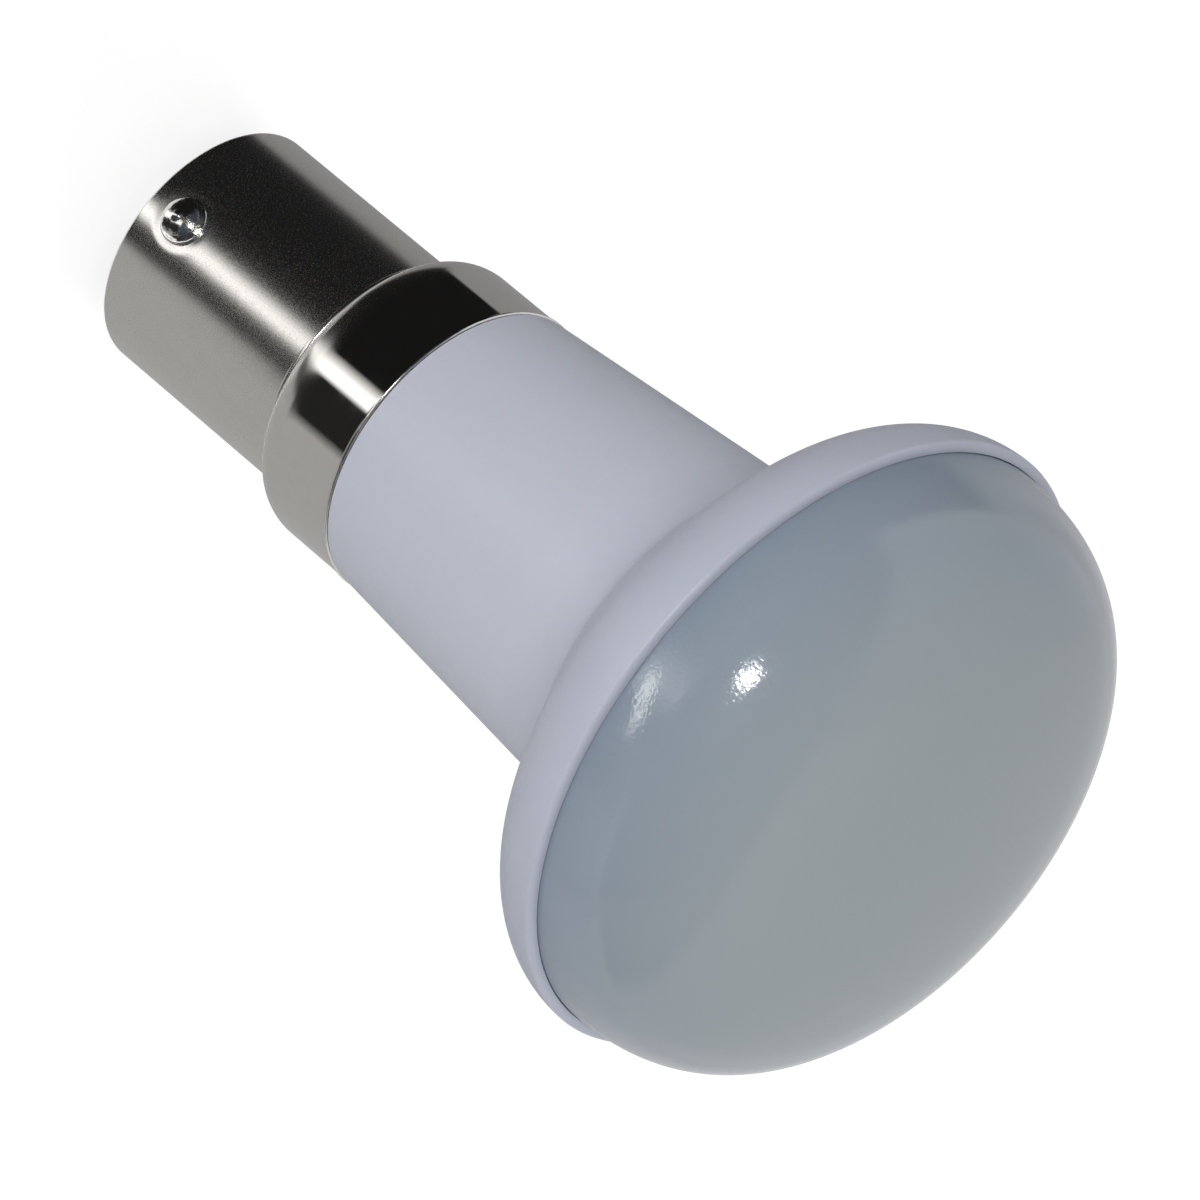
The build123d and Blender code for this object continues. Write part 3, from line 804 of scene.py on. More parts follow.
def nickel_material():
    """Satin on the barrel, a dulled shoulder, a polished skirt, and wear at the foot and the lip."""
    cap = bpy.context.scene.lamp_cap
    polish_blend, barrel_cells, skirt_cells = 0.05, 13.0, 0.8
    foot_blend, foot_fade = 0.1, 0.2
    dulled_above, dulled_blend, dulled_share = 0.7, 1.1, 0.4
    burr_height, burr_share, burr_cells, burr_lift = 0.16, 0.4, 3.5, 8.0
    satin_spread, polish_spread = (-0.04, 0.05), (-0.015, 0.03)

    def values(tree):
        polished = height_above(tree, STEP_Z - 2 * cap.bead, polish_blend)
        grain = grained(tree, *(cap.barrel_roughness + part for part in satin_spread), barrel_cells)
        wear = grained(tree, *(cap.skirt_roughness + part for part in polish_spread), skirt_cells)
        smooth = blend_of(tree, polished, grain["Value"], wear["Value"])
        over_foot = height_above(tree, STEP_Z + foot_blend, foot_blend)
        foot = maths(tree, "MULTIPLY", over_foot, height_below(tree, STEP_Z + cap.foot_line, foot_fade))
        shoulder = height_below(tree, STEP_Z + cap.shoulder + dulled_above, dulled_blend)
        dulled = maths(tree, "MULTIPLY", shoulder, polished, dulled_share)
        burred = height_above(tree, LIP_Z, burr_height)
        worn = maths(tree, "MAXIMUM", foot, dulled, maths(tree, "MULTIPLY", burred, burr_share))
        satin = maths(tree, "SUBTRACT", 1.0, polished)
        burr = maths(tree, "MULTIPLY", noise(tree, burr_cells * NEAR_MM), burred, burr_lift)
        height = maths(tree, "ADD", maths(tree, "MULTIPLY", grain["Height"], satin), burr)
        return {
            "Base Color": mottled(tree, cap.plating, 0.6, 1.2, 0.94),
            "Metallic": blend_of(tree, foot, 1.0, cap.edge_metal),
            "Roughness": blend_of(tree, worn, smooth, cap.edge_roughness),
            "Normal": bump(tree, height, cap.grain, 0.008),
        }

    return surface("nickel_plate", values)


def polished_metal(name, base, low, high, cells_per_mm=3.0, depth_mm=0.001):
    """Bare metal with a roughness between low and high and a slight unevenness."""

    def values(tree):
        grain = grained(tree, low, high, cells_per_mm)
        return {
            "Base Color": mottled(tree, base, 0.5, 1.5, 0.85),
            "Metallic": 1.0,
            "Roughness": grain["Value"],
            "Normal": bump(tree, grain["Height"], 1.0, depth_mm),
        }

    return surface(name, values)


def turned_metal(name, base, low, high, rings_per_mm):
    """Bare metal with the fine rings that turning leaves."""

    def values(tree):
        rings = effect_node(tree, "fine_rings", {"Rings": rings_per_mm * NEAR_MM})["Height"]
        return {
            "Base Color": mottled(tree, base, 0.4, 0.6, 0.85),
            "Metallic": 1.0,
            "Roughness": ranged(tree, rings, *NOISE_SPAN, low, high),
            "Normal": bump(tree, rings, 0.25, 0.01),
        }

    return surface(name, values)


def plain_finish(name, base, low, high, cells_per_mm=3.0, depth_mm=0.01, second=0.85):
    """A non-metal with a mottled colour, a grained roughness and a fine bump."""

    def values(tree):
        grain = grained(tree, low, high, cells_per_mm)
        return {
            "Base Color": mottled(tree, base, 0.6, 0.7, second),
            "Roughness": grain["Value"],
            "Normal": bump(tree, grain["Height"], 0.2, depth_mm),
        }

    return surface(name, values)


def housing_material():
    """Moulded plastic, with painted shade that makes the head a little darker than the neck."""
    housing = bpy.context.scene.lamp_housing
    cloud = (0.5, 0.16, 0.965)
    above_crease, blend = 4.0, 8.0

    def values(tree):
        grain = grained(tree, housing.roughness - 0.05, housing.roughness + 0.06, 2.5)
        # Painted shade: above the crease the head gets the darker copy of the plastic's colour.
        thick = height_above(tree, RIM_Z + housing.crease_height + above_crease, blend)
        neck = mottled(tree, housing.plastic, *cloud)
        return {
            "Base Color": blend_of(tree, thick, neck, mottled(tree, housing.shaded_head_plastic, *cloud)),
            "Roughness": grain["Value"],
            "Subsurface Weight": 0.08,
            "Subsurface Scale": 0.001,
            "Normal": bump(tree, grain["Height"], 0.12, 0.012),
        }

    return surface("white_body", values)


def lens_material():
    """Frosted plastic, with painted shade that makes it darker and bluer towards the dome's edge."""
    lens = bpy.context.scene.lamp_lens
    frost_cells, frost_depth, plain_from = 4.5, 0.013, 0.85

    def values(tree):
        frost = grained(tree, lens.roughness - 0.04, lens.roughness + 0.05, frost_cells)
        rise = height_above(tree, CROWN_Z, CROWN_Z - HEAD_TOP_Z)
        away = ranged(tree, rise, 0.0, plain_from, 1.0, 0.0)
        middle_tint = mottled(tree, lens.plastic, 0.5, 0.12, 0.975)
        return {
            # Painted shade: the colour turns darker and bluer from the crown down to the dome's edge.
            "Base Color": blend_of(tree, away, middle_tint, mottled(tree, lens.edge, 0.6, 0.2, 0.95)),
            "Roughness": frost["Value"],
            "Normal": bump(tree, frost["Height"], lens.frost, frost_depth),
        }

    return surface("frosted_lens", values)


# Pieces


def cap_outline(cap):
    """Closed section of the drawn cap, from the end's opening round the outside and back."""
    inner_barrel = cap.barrel - cap.sheet
    inner_skirt = cap.skirt - cap.sheet
    shoulder_top = STEP_Z + cap.shoulder
    shoulder_low = STEP_Z + cap.sheet
    bead_low = STEP_Z - 2 * cap.bead
    dish_end = 2.6  # the wall has rows of points as far as this, for the dish round a pin
    lip = reach("cap_shell")
    lip_round = cap.lip_round
    points = straight((cap.opening, RIM_Z), (cap.barrel - cap.rim_round, RIM_Z))
    points += arc((cap.barrel - cap.rim_round, RIM_Z + cap.rim_round), cap.rim_round, -90, 0, 10)
    points += straight((cap.barrel, RIM_Z + cap.rim_round), (cap.barrel, dish_end), 32)
    points += straight((cap.barrel, dish_end), (cap.barrel, bead_low))
    points += arc((cap.barrel, STEP_Z - cap.bead), cap.bead, -90, 75, 14)
    points += arc((cap.barrel, shoulder_top), (cap.skirt - cap.barrel, cap.shoulder), -90, 0, 24)
    points += straight((cap.skirt, shoulder_top), (cap.skirt, LIP_Z - cap.flare))
    points += straight((cap.skirt, LIP_Z - cap.flare), (lip, LIP_Z - lip_round))
    points += arc((lip - lip_round, LIP_Z - lip_round), lip_round, 0, 90, 6)
    points += path((lip - lip_round, LIP_Z), (inner_skirt, LIP_Z), (inner_skirt, shoulder_top))
    inner_round = (inner_skirt - inner_barrel, shoulder_top - shoulder_low)
    points += arc((inner_barrel, shoulder_top), inner_round, 0, -90, 12)
    points += path((inner_barrel, shoulder_low), (inner_barrel, dish_end))
    points += straight((inner_barrel, dish_end), (inner_barrel, RIM_Z + cap.sheet), 16)
    sheet_z = RIM_Z + cap.sheet
    return points + path((inner_barrel, sheet_z), (cap.opening, sheet_z), (cap.opening, RIM_Z))


class LAMP_OT_cap(Operator):
    """Make the plated cap"""

    bl_idname = "lamp.cap"
    bl_label = "Bayonet Cap"

    def execute(self, context):
        cap = context.scene.lamp_cap
        dish = (cap.dish_inner, cap.dish_outer, cap.dish_depth)
        shell = turned("plated_cap", cap_outline(cap), cap.steps, nickel_material(), dish=dish)
        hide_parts("cap_shell")
        return {"FINISHED"}


def pin_outline(pin):
    """Half section of a pin, from the middle of its inner head to the middle of its dome."""
    head_gap = 0.12
    head_top = pin.collar_low - head_gap
    crown = pin.reach - pin.teat_height
    dome_start = crown - pin.dome
    dome_radius = (pin.radius**2 + pin.dome**2) / (2 * pin.dome)
    spread = math.degrees(math.asin(pin.radius / dome_radius))
    round_edge = 0.08
    points = path((0.0, pin.head_low), (pin.head - round_edge, pin.head_low))
    points += arc((pin.head - round_edge, pin.head_low + round_edge), round_edge, -90, 0, 4)
    points += path((pin.head, pin.head_low + round_edge), (pin.head, head_top), (pin.shank, head_top))
    points += path((pin.shank, head_top), (pin.shank, pin.collar_low), (pin.collar, pin.collar_low))
    points += straight((pin.collar, pin.collar_low), (pin.collar, pin.collar_top - round_edge))
    points += arc((pin.collar - round_edge, pin.collar_top - round_edge), round_edge, 0, 90, 5)
    points += path((pin.collar - round_edge, pin.collar_top), (pin.radius, pin.collar_top))
    points += straight((pin.radius, pin.collar_top), (pin.radius, dome_start))
    dome = arc((0.0, crown - dome_radius), dome_radius, 90 - spread, 90, 24)
    return points + [(radius, z + pin.teat_height * teat_rise(radius / pin.teat)) for radius, z in dome]


def teat_rise(away):
    """Share of the teat's height at a distance from its middle, in teat radii."""
    return 0.5 + 0.5 * math.cos(math.pi * min(1.0, away))


class LAMP_OT_pins(Operator):
    """Make the two bayonet pins"""

    bl_idname = "lamp.pins"
    bl_label = "Bayonet Pins"

    def execute(self, context):
        pin = context.scene.lamp_pin
        metal = polished_metal("pin_metal", pin.metal, 0.12, 0.2, 1.6, 0.05)
        for side, turn in (("front", 90), ("rear", -90)):
            made = turned(f"pin_{side}", pin_outline(pin), pin.steps, metal, lay_over=math.radians(turn))
            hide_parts(f"bayonet_pin_{side}")
        return {"FINISHED"}


EYELET = 1.0  # radius of the hole in the glass that the contact's stem fills


def insulator_outline():
    """Closed section of the glass that fills the cap's end."""
    cap = bpy.context.scene.lamp_cap
    nose_z, top_z = span("cap_insulator")
    sheet_z = RIM_Z + cap.sheet
    inner_barrel = cap.barrel - cap.sheet
    nose = 2.6
    bulge = (5.3, RIM_Z - 0.95)
    points = path((EYELET, nose_z), (nose, nose_z))
    points += arc_through((nose, nose_z), bulge, (cap.opening, RIM_Z), 24)
    points += path((cap.opening, RIM_Z), (cap.opening, sheet_z), (inner_barrel, sheet_z))
    points += path((inner_barrel, sheet_z), (inner_barrel, top_z), (EYELET, top_z))
    return points + straight((EYELET, top_z), (EYELET, nose_z))


def contact_outline():
    """Half section of the eyelet and its solder dome."""
    radius, side_z, flat = 2.2, -5.3, 0.8
    dome_middle = (1.75, -6.1)
    nose_z, top_z = low_z("cap_insulator"), high_z("centre_contact")
    points = path((0.0, FLOOR_Z), (flat, FLOOR_Z))
    points += arc_through((flat, FLOOR_Z), dome_middle, (radius, side_z), 20)
    points += path((radius, side_z), (radius, nose_z), (EYELET, nose_z), (EYELET, top_z))
    return points + straight((EYELET, top_z), (0.0, top_z))


class LAMP_OT_contact(Operator):
    """Make the glass insulator and the solder contact"""

    bl_idname = "lamp.contact"
    bl_label = "Insulator and Contact"

    def execute(self, context):
        settings = context.scene.lamp_contact
        glass = plain_finish("black_glass", settings.glass, 0.06, 0.12, 1.2, 0.004, 0.7)
        solder = polished_metal("solder", settings.solder, 0.3, 0.42)
        insulator = turned("glass_insulator", insulator_outline(), settings.steps, glass)
        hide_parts("cap_insulator")
        contact = turned("solder_contact", contact_outline(), settings.steps, solder)
        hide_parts("centre_contact")
        return {"FINISHED"}


# Radii inside the housing, and small steps and gaps that its parts share, in millimetres
SPIGOT_BORE = 6.9
HEAD_BORE = 9.0
CREASE_RADIUS = 10.53
LEDGE_RADIUS = 15.0
GAP = 0.05
SEAT_DROP = 0.4
SNAP_STEP = 0.8


def over_slope(housing, radius, above):
    """Height of what lies this far above the slope of the head's back, at a radius."""
    crease_z = RIM_Z + housing.crease_height
    return crease_z + (radius - CREASE_RADIUS) * math.tan(housing.back_angle) + above


def housing_outline(housing):
    """Closed section of the housing, from its spigot round the outside and back inside."""
    cap = bpy.context.scene.lamp_cap
    spigot = cap.skirt - cap.sheet - GAP
    edge_z = LIP_Z + GAP
    crease_z = RIM_Z + housing.crease_height
    slope = math.tan(housing.back_angle)
    back = math.degrees(housing.back_angle)
    edge_drop = 0.3
    widest_z = HEAD_TOP_Z - edge_drop
    edge_centre = (housing.head - housing.head_edge, widest_z)
    tangent = (
        edge_centre[0] + housing.head_edge * math.sin(housing.back_angle),
        widest_z - housing.head_edge * math.cos(housing.back_angle),
    )
    crease = (tangent[0] - (tangent[1] - crease_z) / slope, crease_z)
    neck = (housing.neck_start, edge_z + housing.neck_round)
    crease_arc = rounded_corner(neck, crease, tangent, housing.crease_round, 14)
    neck_in = neck[0] - housing.neck_round
    points = path((SPIGOT_BORE, SPIGOT_Z), (spigot, SPIGOT_Z), (spigot, edge_z), (neck_in, edge_z))
    points += arc((neck_in, neck[1]), housing.neck_round, -90, 0, 10)
    points += straight(neck, crease_arc[0]) + crease_arc + straight(crease_arc[-1], tangent)
    points += arc(edge_centre, housing.head_edge, back - 90, 0, 28)
    seat = bpy.context.scene.lamp_lens.radius + housing.seam
    points += arc((seat, widest_z), (housing.head - seat, HEAD_TOP_Z - widest_z), 0, 90, 14)
    return points + housing_inside(housing)


def housing_inside(housing):
    """The lens's seat, the groove for its bead, the deck's ledge and the bore."""
    lens = bpy.context.scene.lamp_lens
    seat = lens.radius + housing.seam
    seat_z = HEAD_TOP_Z - SEAT_DROP
    snap = reach("diffuser") - SNAP_STEP
    wall = snap + GAP
    pocket_z = SNAP_LOW_Z - GAP
    groove_z = (seat_z + SNAP_LOW_Z) / 2
    groove, groove_half, groove_turn = 0.25, 0.245, 78.5
    deck = reach("heat_spreader") + GAP
    thick = housing.wall / math.cos(housing.back_angle)
    ledge_low = over_slope(housing, LEDGE_RADIUS, thick)
    bore_high = over_slope(housing, HEAD_BORE, thick)
    points = path((seat, HEAD_TOP_Z), (seat, seat_z), (wall, seat_z))
    points += path((wall, seat_z), (wall, groove_z + groove_half))
    points += arc((snap, groove_z), groove, groove_turn, -groove_turn, 10)
    points += path((wall, groove_z - groove_half), (wall, pocket_z), (deck, pocket_z), (deck, LEDGE_Z))
    points += path((deck, LEDGE_Z), (LEDGE_RADIUS, LEDGE_Z), (LEDGE_RADIUS, ledge_low))
    points += path((LEDGE_RADIUS, ledge_low), (HEAD_BORE, bore_high), (SPIGOT_BORE, SPIGOT_Z))
    return points


def board_ribs(housing):
    """Four ribs that hold the driver board's long edges, set a little into the wall."""
    clearance, into_wall, over_board = 0.03, 0.3, 0.8
    inner = reach("driver_board") - housing.rib_reach
    near = span("driver_board", 1)[1] + clearance
    far = near + housing.rib_width
    top = high_z("driver_board")
    widening = (HEAD_BORE - SPIGOT_BORE) / (top + over_board - SPIGOT_Z)
    levels = ((SPIGOT_Z, 0.0), (top - 0.6, 0.0), (top - 0.2, 0.12), (top, 0.35))
    stacks = []
    for x_side in (-1, 1):
        for y_side in (-1, 1):
            rings = []
            for z, inset in levels:
                wall = SPIGOT_BORE + into_wall + widening * (z - SPIGOT_Z)
                low_x, far_y = inner + inset, far - inset
                ring = [(low_x, near), (wall, near), (wall, far_y), (low_x, far_y)]
                rings.append([(x_side * x, y_side * y, z) for x, y in ring])
            stacks.append(rings)
    return stacked("board_ribs", *stacks)


def screw_boss(housing):
    """A boss on the x axis of its own place, with a foot on the sloping wall and a pilot hole."""
    sides, foot_depth, bevel = 48, 0.9, 0.1

    def ring(radius, z):
        return [(x, y, z) for x, y in arc((0.0, 0.0), radius, 0, 360 - 360 / sides, sides - 1)]

    foot = [
        (x, y, over_slope(housing, housing.boss_circle + x, foot_depth))
        for x, y, _ in ring(housing.boss, 0.0)
    ]
    rings = [
        foot,
        ring(housing.boss, LEDGE_Z - bevel),
        ring(housing.boss - bevel, LEDGE_Z),
        ring(housing.pilot, LEDGE_Z),
        ring(housing.pilot, low_z("board_screws")),
    ]
    return stacked("screw_boss", rings)


class LAMP_OT_housing(Operator):
    """Make the moulded body with its ribs and screw bosses"""

    bl_idname = "lamp.housing"
    bl_label = "Housing"

    def execute(self, context):
        housing = context.scene.lamp_housing
        white = housing_material()
        shell = turned("moulded_body", housing_outline(housing), housing.steps, white)
        ribs = piece("board_ribs", board_ribs(housing))
        ribs.data.materials.append(white)
        bosses = on_circles(
            "screw_bosses",
            screw_boss(housing),
            (housing.bosses, 0),
            (housing.boss_circle, 0.0),
            math.radians(90),
            0.0,
            white,
        )
        for made in (shell, ribs, bosses):
            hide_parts("housing")
        return {"FINISHED"}


def lens_outline(lens):
    """Closed section of the dome: outside from crown to edge, snap skirt, and inside."""
    skirt_wall, bead, chamfer_low, chamfer_high = 1.1, 0.2, 0.3, 1.0
    seat_z = HEAD_TOP_Z - SEAT_DROP
    snap = lens.radius - SNAP_STEP
    bore = snap - skirt_wall
    bead_z = (seat_z + SNAP_LOW_Z) / 2
    inner = (lens.radius - lens.wall, seat_z + chamfer_high)
    points = dome_curve(lens, 0.0, 72)
    points += path((lens.radius, HEAD_TOP_Z), (lens.radius, seat_z), (snap, seat_z))
    points += straight((snap, seat_z), (snap, bead_z + bead))
    points += arc((snap, bead_z), bead, 90, -90, 10)
    points += path((snap, bead_z - bead), (snap, SNAP_LOW_Z), (bore, SNAP_LOW_Z))
    points += path((bore, SNAP_LOW_Z), (bore, seat_z + chamfer_low), inner)
    dome = reversed(dome_curve(lens, lens.wall, 40))
    return points + [point for point in dome if point[1] > inner[1] + SUPPORT]


def dome_curve(lens, inset, steps):
    """The dome's curve from its crown down to its edge, moved in by an inset."""
    radius = lens.radius - inset
    crown_z = CROWN_Z - inset
    upright = (radius, HEAD_TOP_Z + lens.side_pull * (crown_z - HEAD_TOP_Z))
    level = (lens.crown_pull * radius, crown_z)
    return bezier((0.0, crown_z), level, upright, (radius, HEAD_TOP_Z), steps)


class LAMP_OT_lens(Operator):
    """Make the frosted dome"""

    bl_idname = "lamp.lens"
    bl_label = "Frosted Lens"

    def execute(self, context):
        lens = context.scene.lamp_lens
        dome = turned("frosted_dome", lens_outline(lens), lens.steps, lens_material())
        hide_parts("diffuser")
        return {"FINISHED"}


def coil_outline(inside):
    """Closed section of the coil's winding, with a round for each turn that shows."""
    low, high = (-y for y in reversed(span("inductor_winding", 1)))
    wire = (high - low) / inside.turns / 2
    outer = (high_z("inductor_winding") - low_z("inductor_winding")) / 2
    post, fullness, half_turn = 1.6, 0.98, 88
    points = path((post, low), (outer - wire, low))
    for turn in range(inside.turns):
        centre = (outer - wire, low + wire * (2 * turn + 1))
        points += arc(centre, wire * fullness, -half_turn, half_turn, 10)
    return points + path((outer - wire, high), (post, high), (post, low))


TIN = (0.70, 0.70, 0.69)


def inside_finishes(inside):
    """A finish for each CAD node that stays as it is, by the start of the node's name."""
    zinc = turned_metal("zinc_plate", (0.62, 0.62, 0.63), 0.25, 0.4, 7.0)
    solder = polished_metal("joint_solder", (0.66, 0.66, 0.65), 0.28, 0.4, 2.0, 0.02)
    red_wire = plain_finish("red_wire", (0.62, 0.05, 0.04), 0.32, 0.42, 4.0, 0.012, 0.8)
    black_wire = plain_finish("black_wire", (0.03, 0.03, 0.032), 0.32, 0.42, 4.0, 0.012, 0.7)
    black, tin, tan = (0.035, 0.035, 0.04), TIN, (0.62, 0.48, 0.32)
    sleeve, bare_can = (0.10, 0.12, 0.20), (0.8, 0.8, 0.8)
    chip_x, resistor_x = middle("driver_chip", 0), middle("chip_resistors", 0)
    tan_z, diode_z, can_z = middle("output_capacitor"), middle("freewheel_diode"), middle("input_capacitor")
    white_mask, white_tracks = (0.88, 0.89, 0.88), (0.80, 0.80, 0.78)
    green_mask, green_tracks = (0.05, 0.26, 0.14), (0.09, 0.36, 0.18)
    return {
        "heat_spreader": turned_metal("spreader_aluminium", (0.78, 0.79, 0.80), 0.26, 0.4, 6.0),
        "thermal_pad": plain_finish("grey_pad", (0.45, 0.46, 0.48), 0.75, 0.9, 5.0, 0.03),
        "led_board": tracked_finish("white_board", 0.35, white_mask, white_tracks, "XY", 5.2),
        "led_0": plain_finish("led_case", (0.90, 0.89, 0.86), 0.4, 0.5, 6.0, 0.01, 0.95),
        "led_1": plain_finish("led_case_outer", (0.90, 0.89, 0.86), 0.4, 0.5, 6.0, 0.01, 0.95),
        "board_screws": zinc,
        "driver_board": tracked_finish("green_board", 0.35, green_mask, green_tracks, "XZ", 3.4),
        "bridge_rectifier": ended_finish("rectifier_epoxy", black, tin, "X", 0.0, 2.35),
        "driver_chip": ended_finish("chip_epoxy", black, tin, "X", chip_x, 1.95),
        "chip_resistors": ended_finish("resistor_glass", black, tin, "X", resistor_x, 0.55, 0.3, 0.4),
        "output_capacitor": ended_finish("tan_ceramic", tan, tin, "Z", tan_z, 1.2),
        "freewheel_diode": ended_finish("diode_epoxy", black, tin, "Z", diode_z, 1.9),
        "input_capacitor": ended_finish("capacitor_can", sleeve, bare_can, "Z", can_z, 4.15, 0.3, 0.4),
        "inductor_core": plain_finish("ferrite", (0.14, 0.14, 0.15), 0.6, 0.8, 6.0, 0.03, 0.7),
        "inductor_winding": polished_metal("enamelled_wire", inside.copper, 0.22, 0.34, 3.0, 0.01),
        "centre_lead": red_wire,
        "led_lead_plus": red_wire,
        "shell_lead": black_wire,
        "led_lead_minus": black_wire,
        "solder_joints": solder,
    }


def phosphor_pool():
    """The slightly domed pool in an LED's case, which starts a little below the case's top."""
    half_x, half_y, sunk = 0.96, 1.26, 0.12
    start = high_z("led_01") - BOARD_TOP_Z - sunk
    dome = [(0.0, 0.0), (0.0, 0.05), (0.04, 0.08), (0.14, 0.1), (0.33, 0.11)]
    return stacked("pool", pillow(half_x, half_y, start, dome))


def end_plates():
    """The tinned plates at both ends of an LED."""
    half_x, half_y, away, corner = 1.1, 0.2, 1.62, 0.12
    plate = pillow(half_x, half_y, 0.0, [(0.0, 0.0), (0.0, 0.3), (0.05, 0.36)], corner=corner)
    ends = [[[(x, y + side * away, z) for x, y, z in ring] for ring in plate] for side in (-1, 1)]
    return stacked("plates", *ends)


class LAMP_OT_inside(Operator):
    """Finish the parts inside and add the coil's turns and the LEDs' phosphor and end plates"""

    bl_idname = "lamp.inside"
    bl_label = "Parts Inside"

    def execute(self, context):
        inside = context.scene.lamp_inside
        finishes = inside_finishes(inside)
        for name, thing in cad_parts.items():
            for start, material in finishes.items():
                if name.startswith(start):
                    thing.data.materials.clear()
                    thing.data.materials.append(material)
        wire = finishes["inductor_winding"]
        coil_steps = 96
        coil = turned("coil_turns", coil_outline(inside), coil_steps, wire, lay_over=math.radians(90))
        coil.data.transform(Matrix.Translation((0.0, 0.0, middle("inductor_winding") * MM)))
        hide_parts("inductor_winding")
        phosphor = plain_finish("phosphor", inside.phosphor, 0.45, 0.6, 14.0, 0.02, 0.8)
        pools = on_leds("led_phosphor", phosphor_pool(), BOARD_TOP_Z, phosphor)
        tin = polished_metal("end_plates", TIN, 0.25, 0.35, 5.0, 0.005)
        plates = on_leds("led_end_plates", end_plates(), BOARD_TOP_Z, tin)
        return {"FINISHED"}


# Camera, lamps, floor, and glowing sheets that paint reflections


def photo_axes(stage):
    """The lamp's own axes as the camera sees them: right, down and away from it."""
    level = math.cos(stage.tilt)
    ahead, aside = math.cos(stage.heading), math.sin(stage.heading)
    along = Vector((level * ahead, level * aside, -math.sin(stage.tilt)))
    across = Vector((aside, -ahead, 0.0))
    facing = along.cross(across)
    pin = across * math.cos(stage.pin_turn) + facing * math.sin(stage.pin_turn)
    return along.cross(pin), -pin, along


PICTURE_WIDTH = 1200  # pixels


def make_camera(stage):
    """The camera of the picture, placed by where it sees the cap's rim and the lamp's axes."""
    x_axis, y_axis, z_axis = photo_axes(stage)
    rim = Vector((stage.rim_right, stage.rim_down, stage.distance))
    origin = rim - z_axis * RIM_Z
    right, down, away = (Vector((x_axis[at], y_axis[at], z_axis[at])) for at in range(3))
    place = -(right * origin.x + down * origin.y + away * origin.z) * MM
    turn = Matrix((right, -down, -away)).transposed()
    data = bpy.data.cameras.new("photo_camera")
    data.sensor_fit = "HORIZONTAL"
    data.sensor_width = 36.0
    data.lens = stage.scale * stage.distance / PICTURE_WIDTH * data.sensor_width
    data.clip_start, data.clip_end = 0.01, 20.0
    camera = linked("photo_camera", data)
    camera.matrix_world = Matrix.Translation(place) @ turn.to_4x4()
    bpy.context.scene.camera = camera


def direction(azimuth, elevation):
    """The unit vector at an azimuth and an elevation in degrees."""
    a, e = math.radians(azimuth), math.radians(elevation)
    return Vector((math.cos(a) * math.cos(e), math.sin(a) * math.cos(e), math.sin(e)))


LAMP_MIDDLE = Vector((0.0, 0.0, 0.028))
VIEW_AZIMUTH = 91.8
VIEW_DROP = 34.2

# The soft lamps: azimuth, elevation, distance and size, in degrees and millimetres
SOFT_LAMPS = {
    "key": (-88, 30, 520, 300),
    "fill": (14, 14, 560, 400),
    "top": (78, 60, 600, 420),
    "flash": (-94, 24.6, 420, 34),
}
FLASH_HEIGHT = 90

# Painted reflections: lines between glowing bands that only the cap's gloss shows, laid out for the
# camera's view: the azimuth of the cap's normal where the line shows on the barrel and on the skirt, and
# the red, green and blue light there
FLOOR_LINES = [
    (-180, -180, 0.3, 0.3, 0.3),
    (-146, -144, 0.3, 0.3, 0.3),
    (-145, -143, 0.01, 0.01, 0.01),
    (-90, -89, 0.01, 0.01, 0.01),
    (-85, -84, 1.7, 1.7, 1.7),
    (-81, -81, 1.7, 1.7, 1.7),
    (-79, -79, 0.02, 0.02, 0.02),
    (-69, -64, 0.02, 0.02, 0.02),
    (-66, -60, 0.45, 0.45, 0.45),
    (4, 4, 0.45, 0.45, 0.45),
]

# Where a line of the bands has its points, in millimetres: heights on the barrel, heights above
# the shoulder, and distances past what the lip mirrors
BARREL_HEIGHTS = (FLOOR_Z + 1.0, RIM_Z, 2.0, 7.0, STEP_Z)
ABOVE_SHOULDER = (0.0, 1.0, 1.9)
PAST_LIP = (0.0, 40.0, 130.0, 840.0)
BANDS_ABOVE_FLOOR = 0.15
BAND_STEP = 4  # the least degrees between two lines that are put in between

# The most light at each point of the painted streak's lines, where 9 is no limit, and the azimuths on the
# skirt between which the painted streak lies
STREAK_LIMITS = [9.0] * 12
STREAK = (-88.0, -78.0)

# Past these azimuths on the skirt the bands are pale from this point of a line on
SIDES = (-147.0, -42.0)
PALE_FROM = 10
PALE_SIDE = (0.75, 0.75, 0.77)

# Painted reflections of the room above the floor, as glowing sheets that only the gloss shows: the azimuths
# where each starts and ends, then its elevations with the red, green and blue light there
PAINTED_REFLECTION_CARDS = [
    (
        "dark_side",
        205,
        354,
        [(-0.35, 0.05, 0.06, 0.08), (45, 0.05, 0.06, 0.08), (62, 0.18, 0.20, 0.24), (90, 0.26, 0.28, 0.32)],
    ),
    (
        "left_side",
        120,
        205,
        [(0, 0.95, 0.95, 1.0), (20, 0.75, 0.8, 0.9), (60, 0.7, 0.7, 0.75), (90, 0.45, 0.45, 0.48)],
    ),
    ("right_side", -6, 26, [(2, 0.30, 0.30, 0.30), (90, 0.24, 0.26, 0.28)]),
    ("pale_side", 26, 120, [(2, 0.8, 0.8, 0.8), (90, 0.7, 0.7, 0.7)]),
    ("warm_patch", -110, -85, [(-6, 3.0, 2.4, 1.9), (1.5, 3.0, 2.4, 1.9)]),
    # A bright painted reflection on the right, low down.
    ("bright_reflection_right", -46, -8, [(-9, 2.4, 2.35, 2.2), (1.5, 2.4, 2.35, 2.2)]),
]

# A painted glint on the lens: a bright glowing sheet close to the lamp that only the gloss shows, as two
# rows of points in millimetres, and its light
PAINTED_GLINT = [
    [(24, -120, 0), (38, -147, 0), (82, -171, 0)],
    [(36, -108, 0), (58, -130, 0), (97, -146, 0)],
]
PAINTED_GLINT_LIGHT = (9.0, 9.0, 8.2)


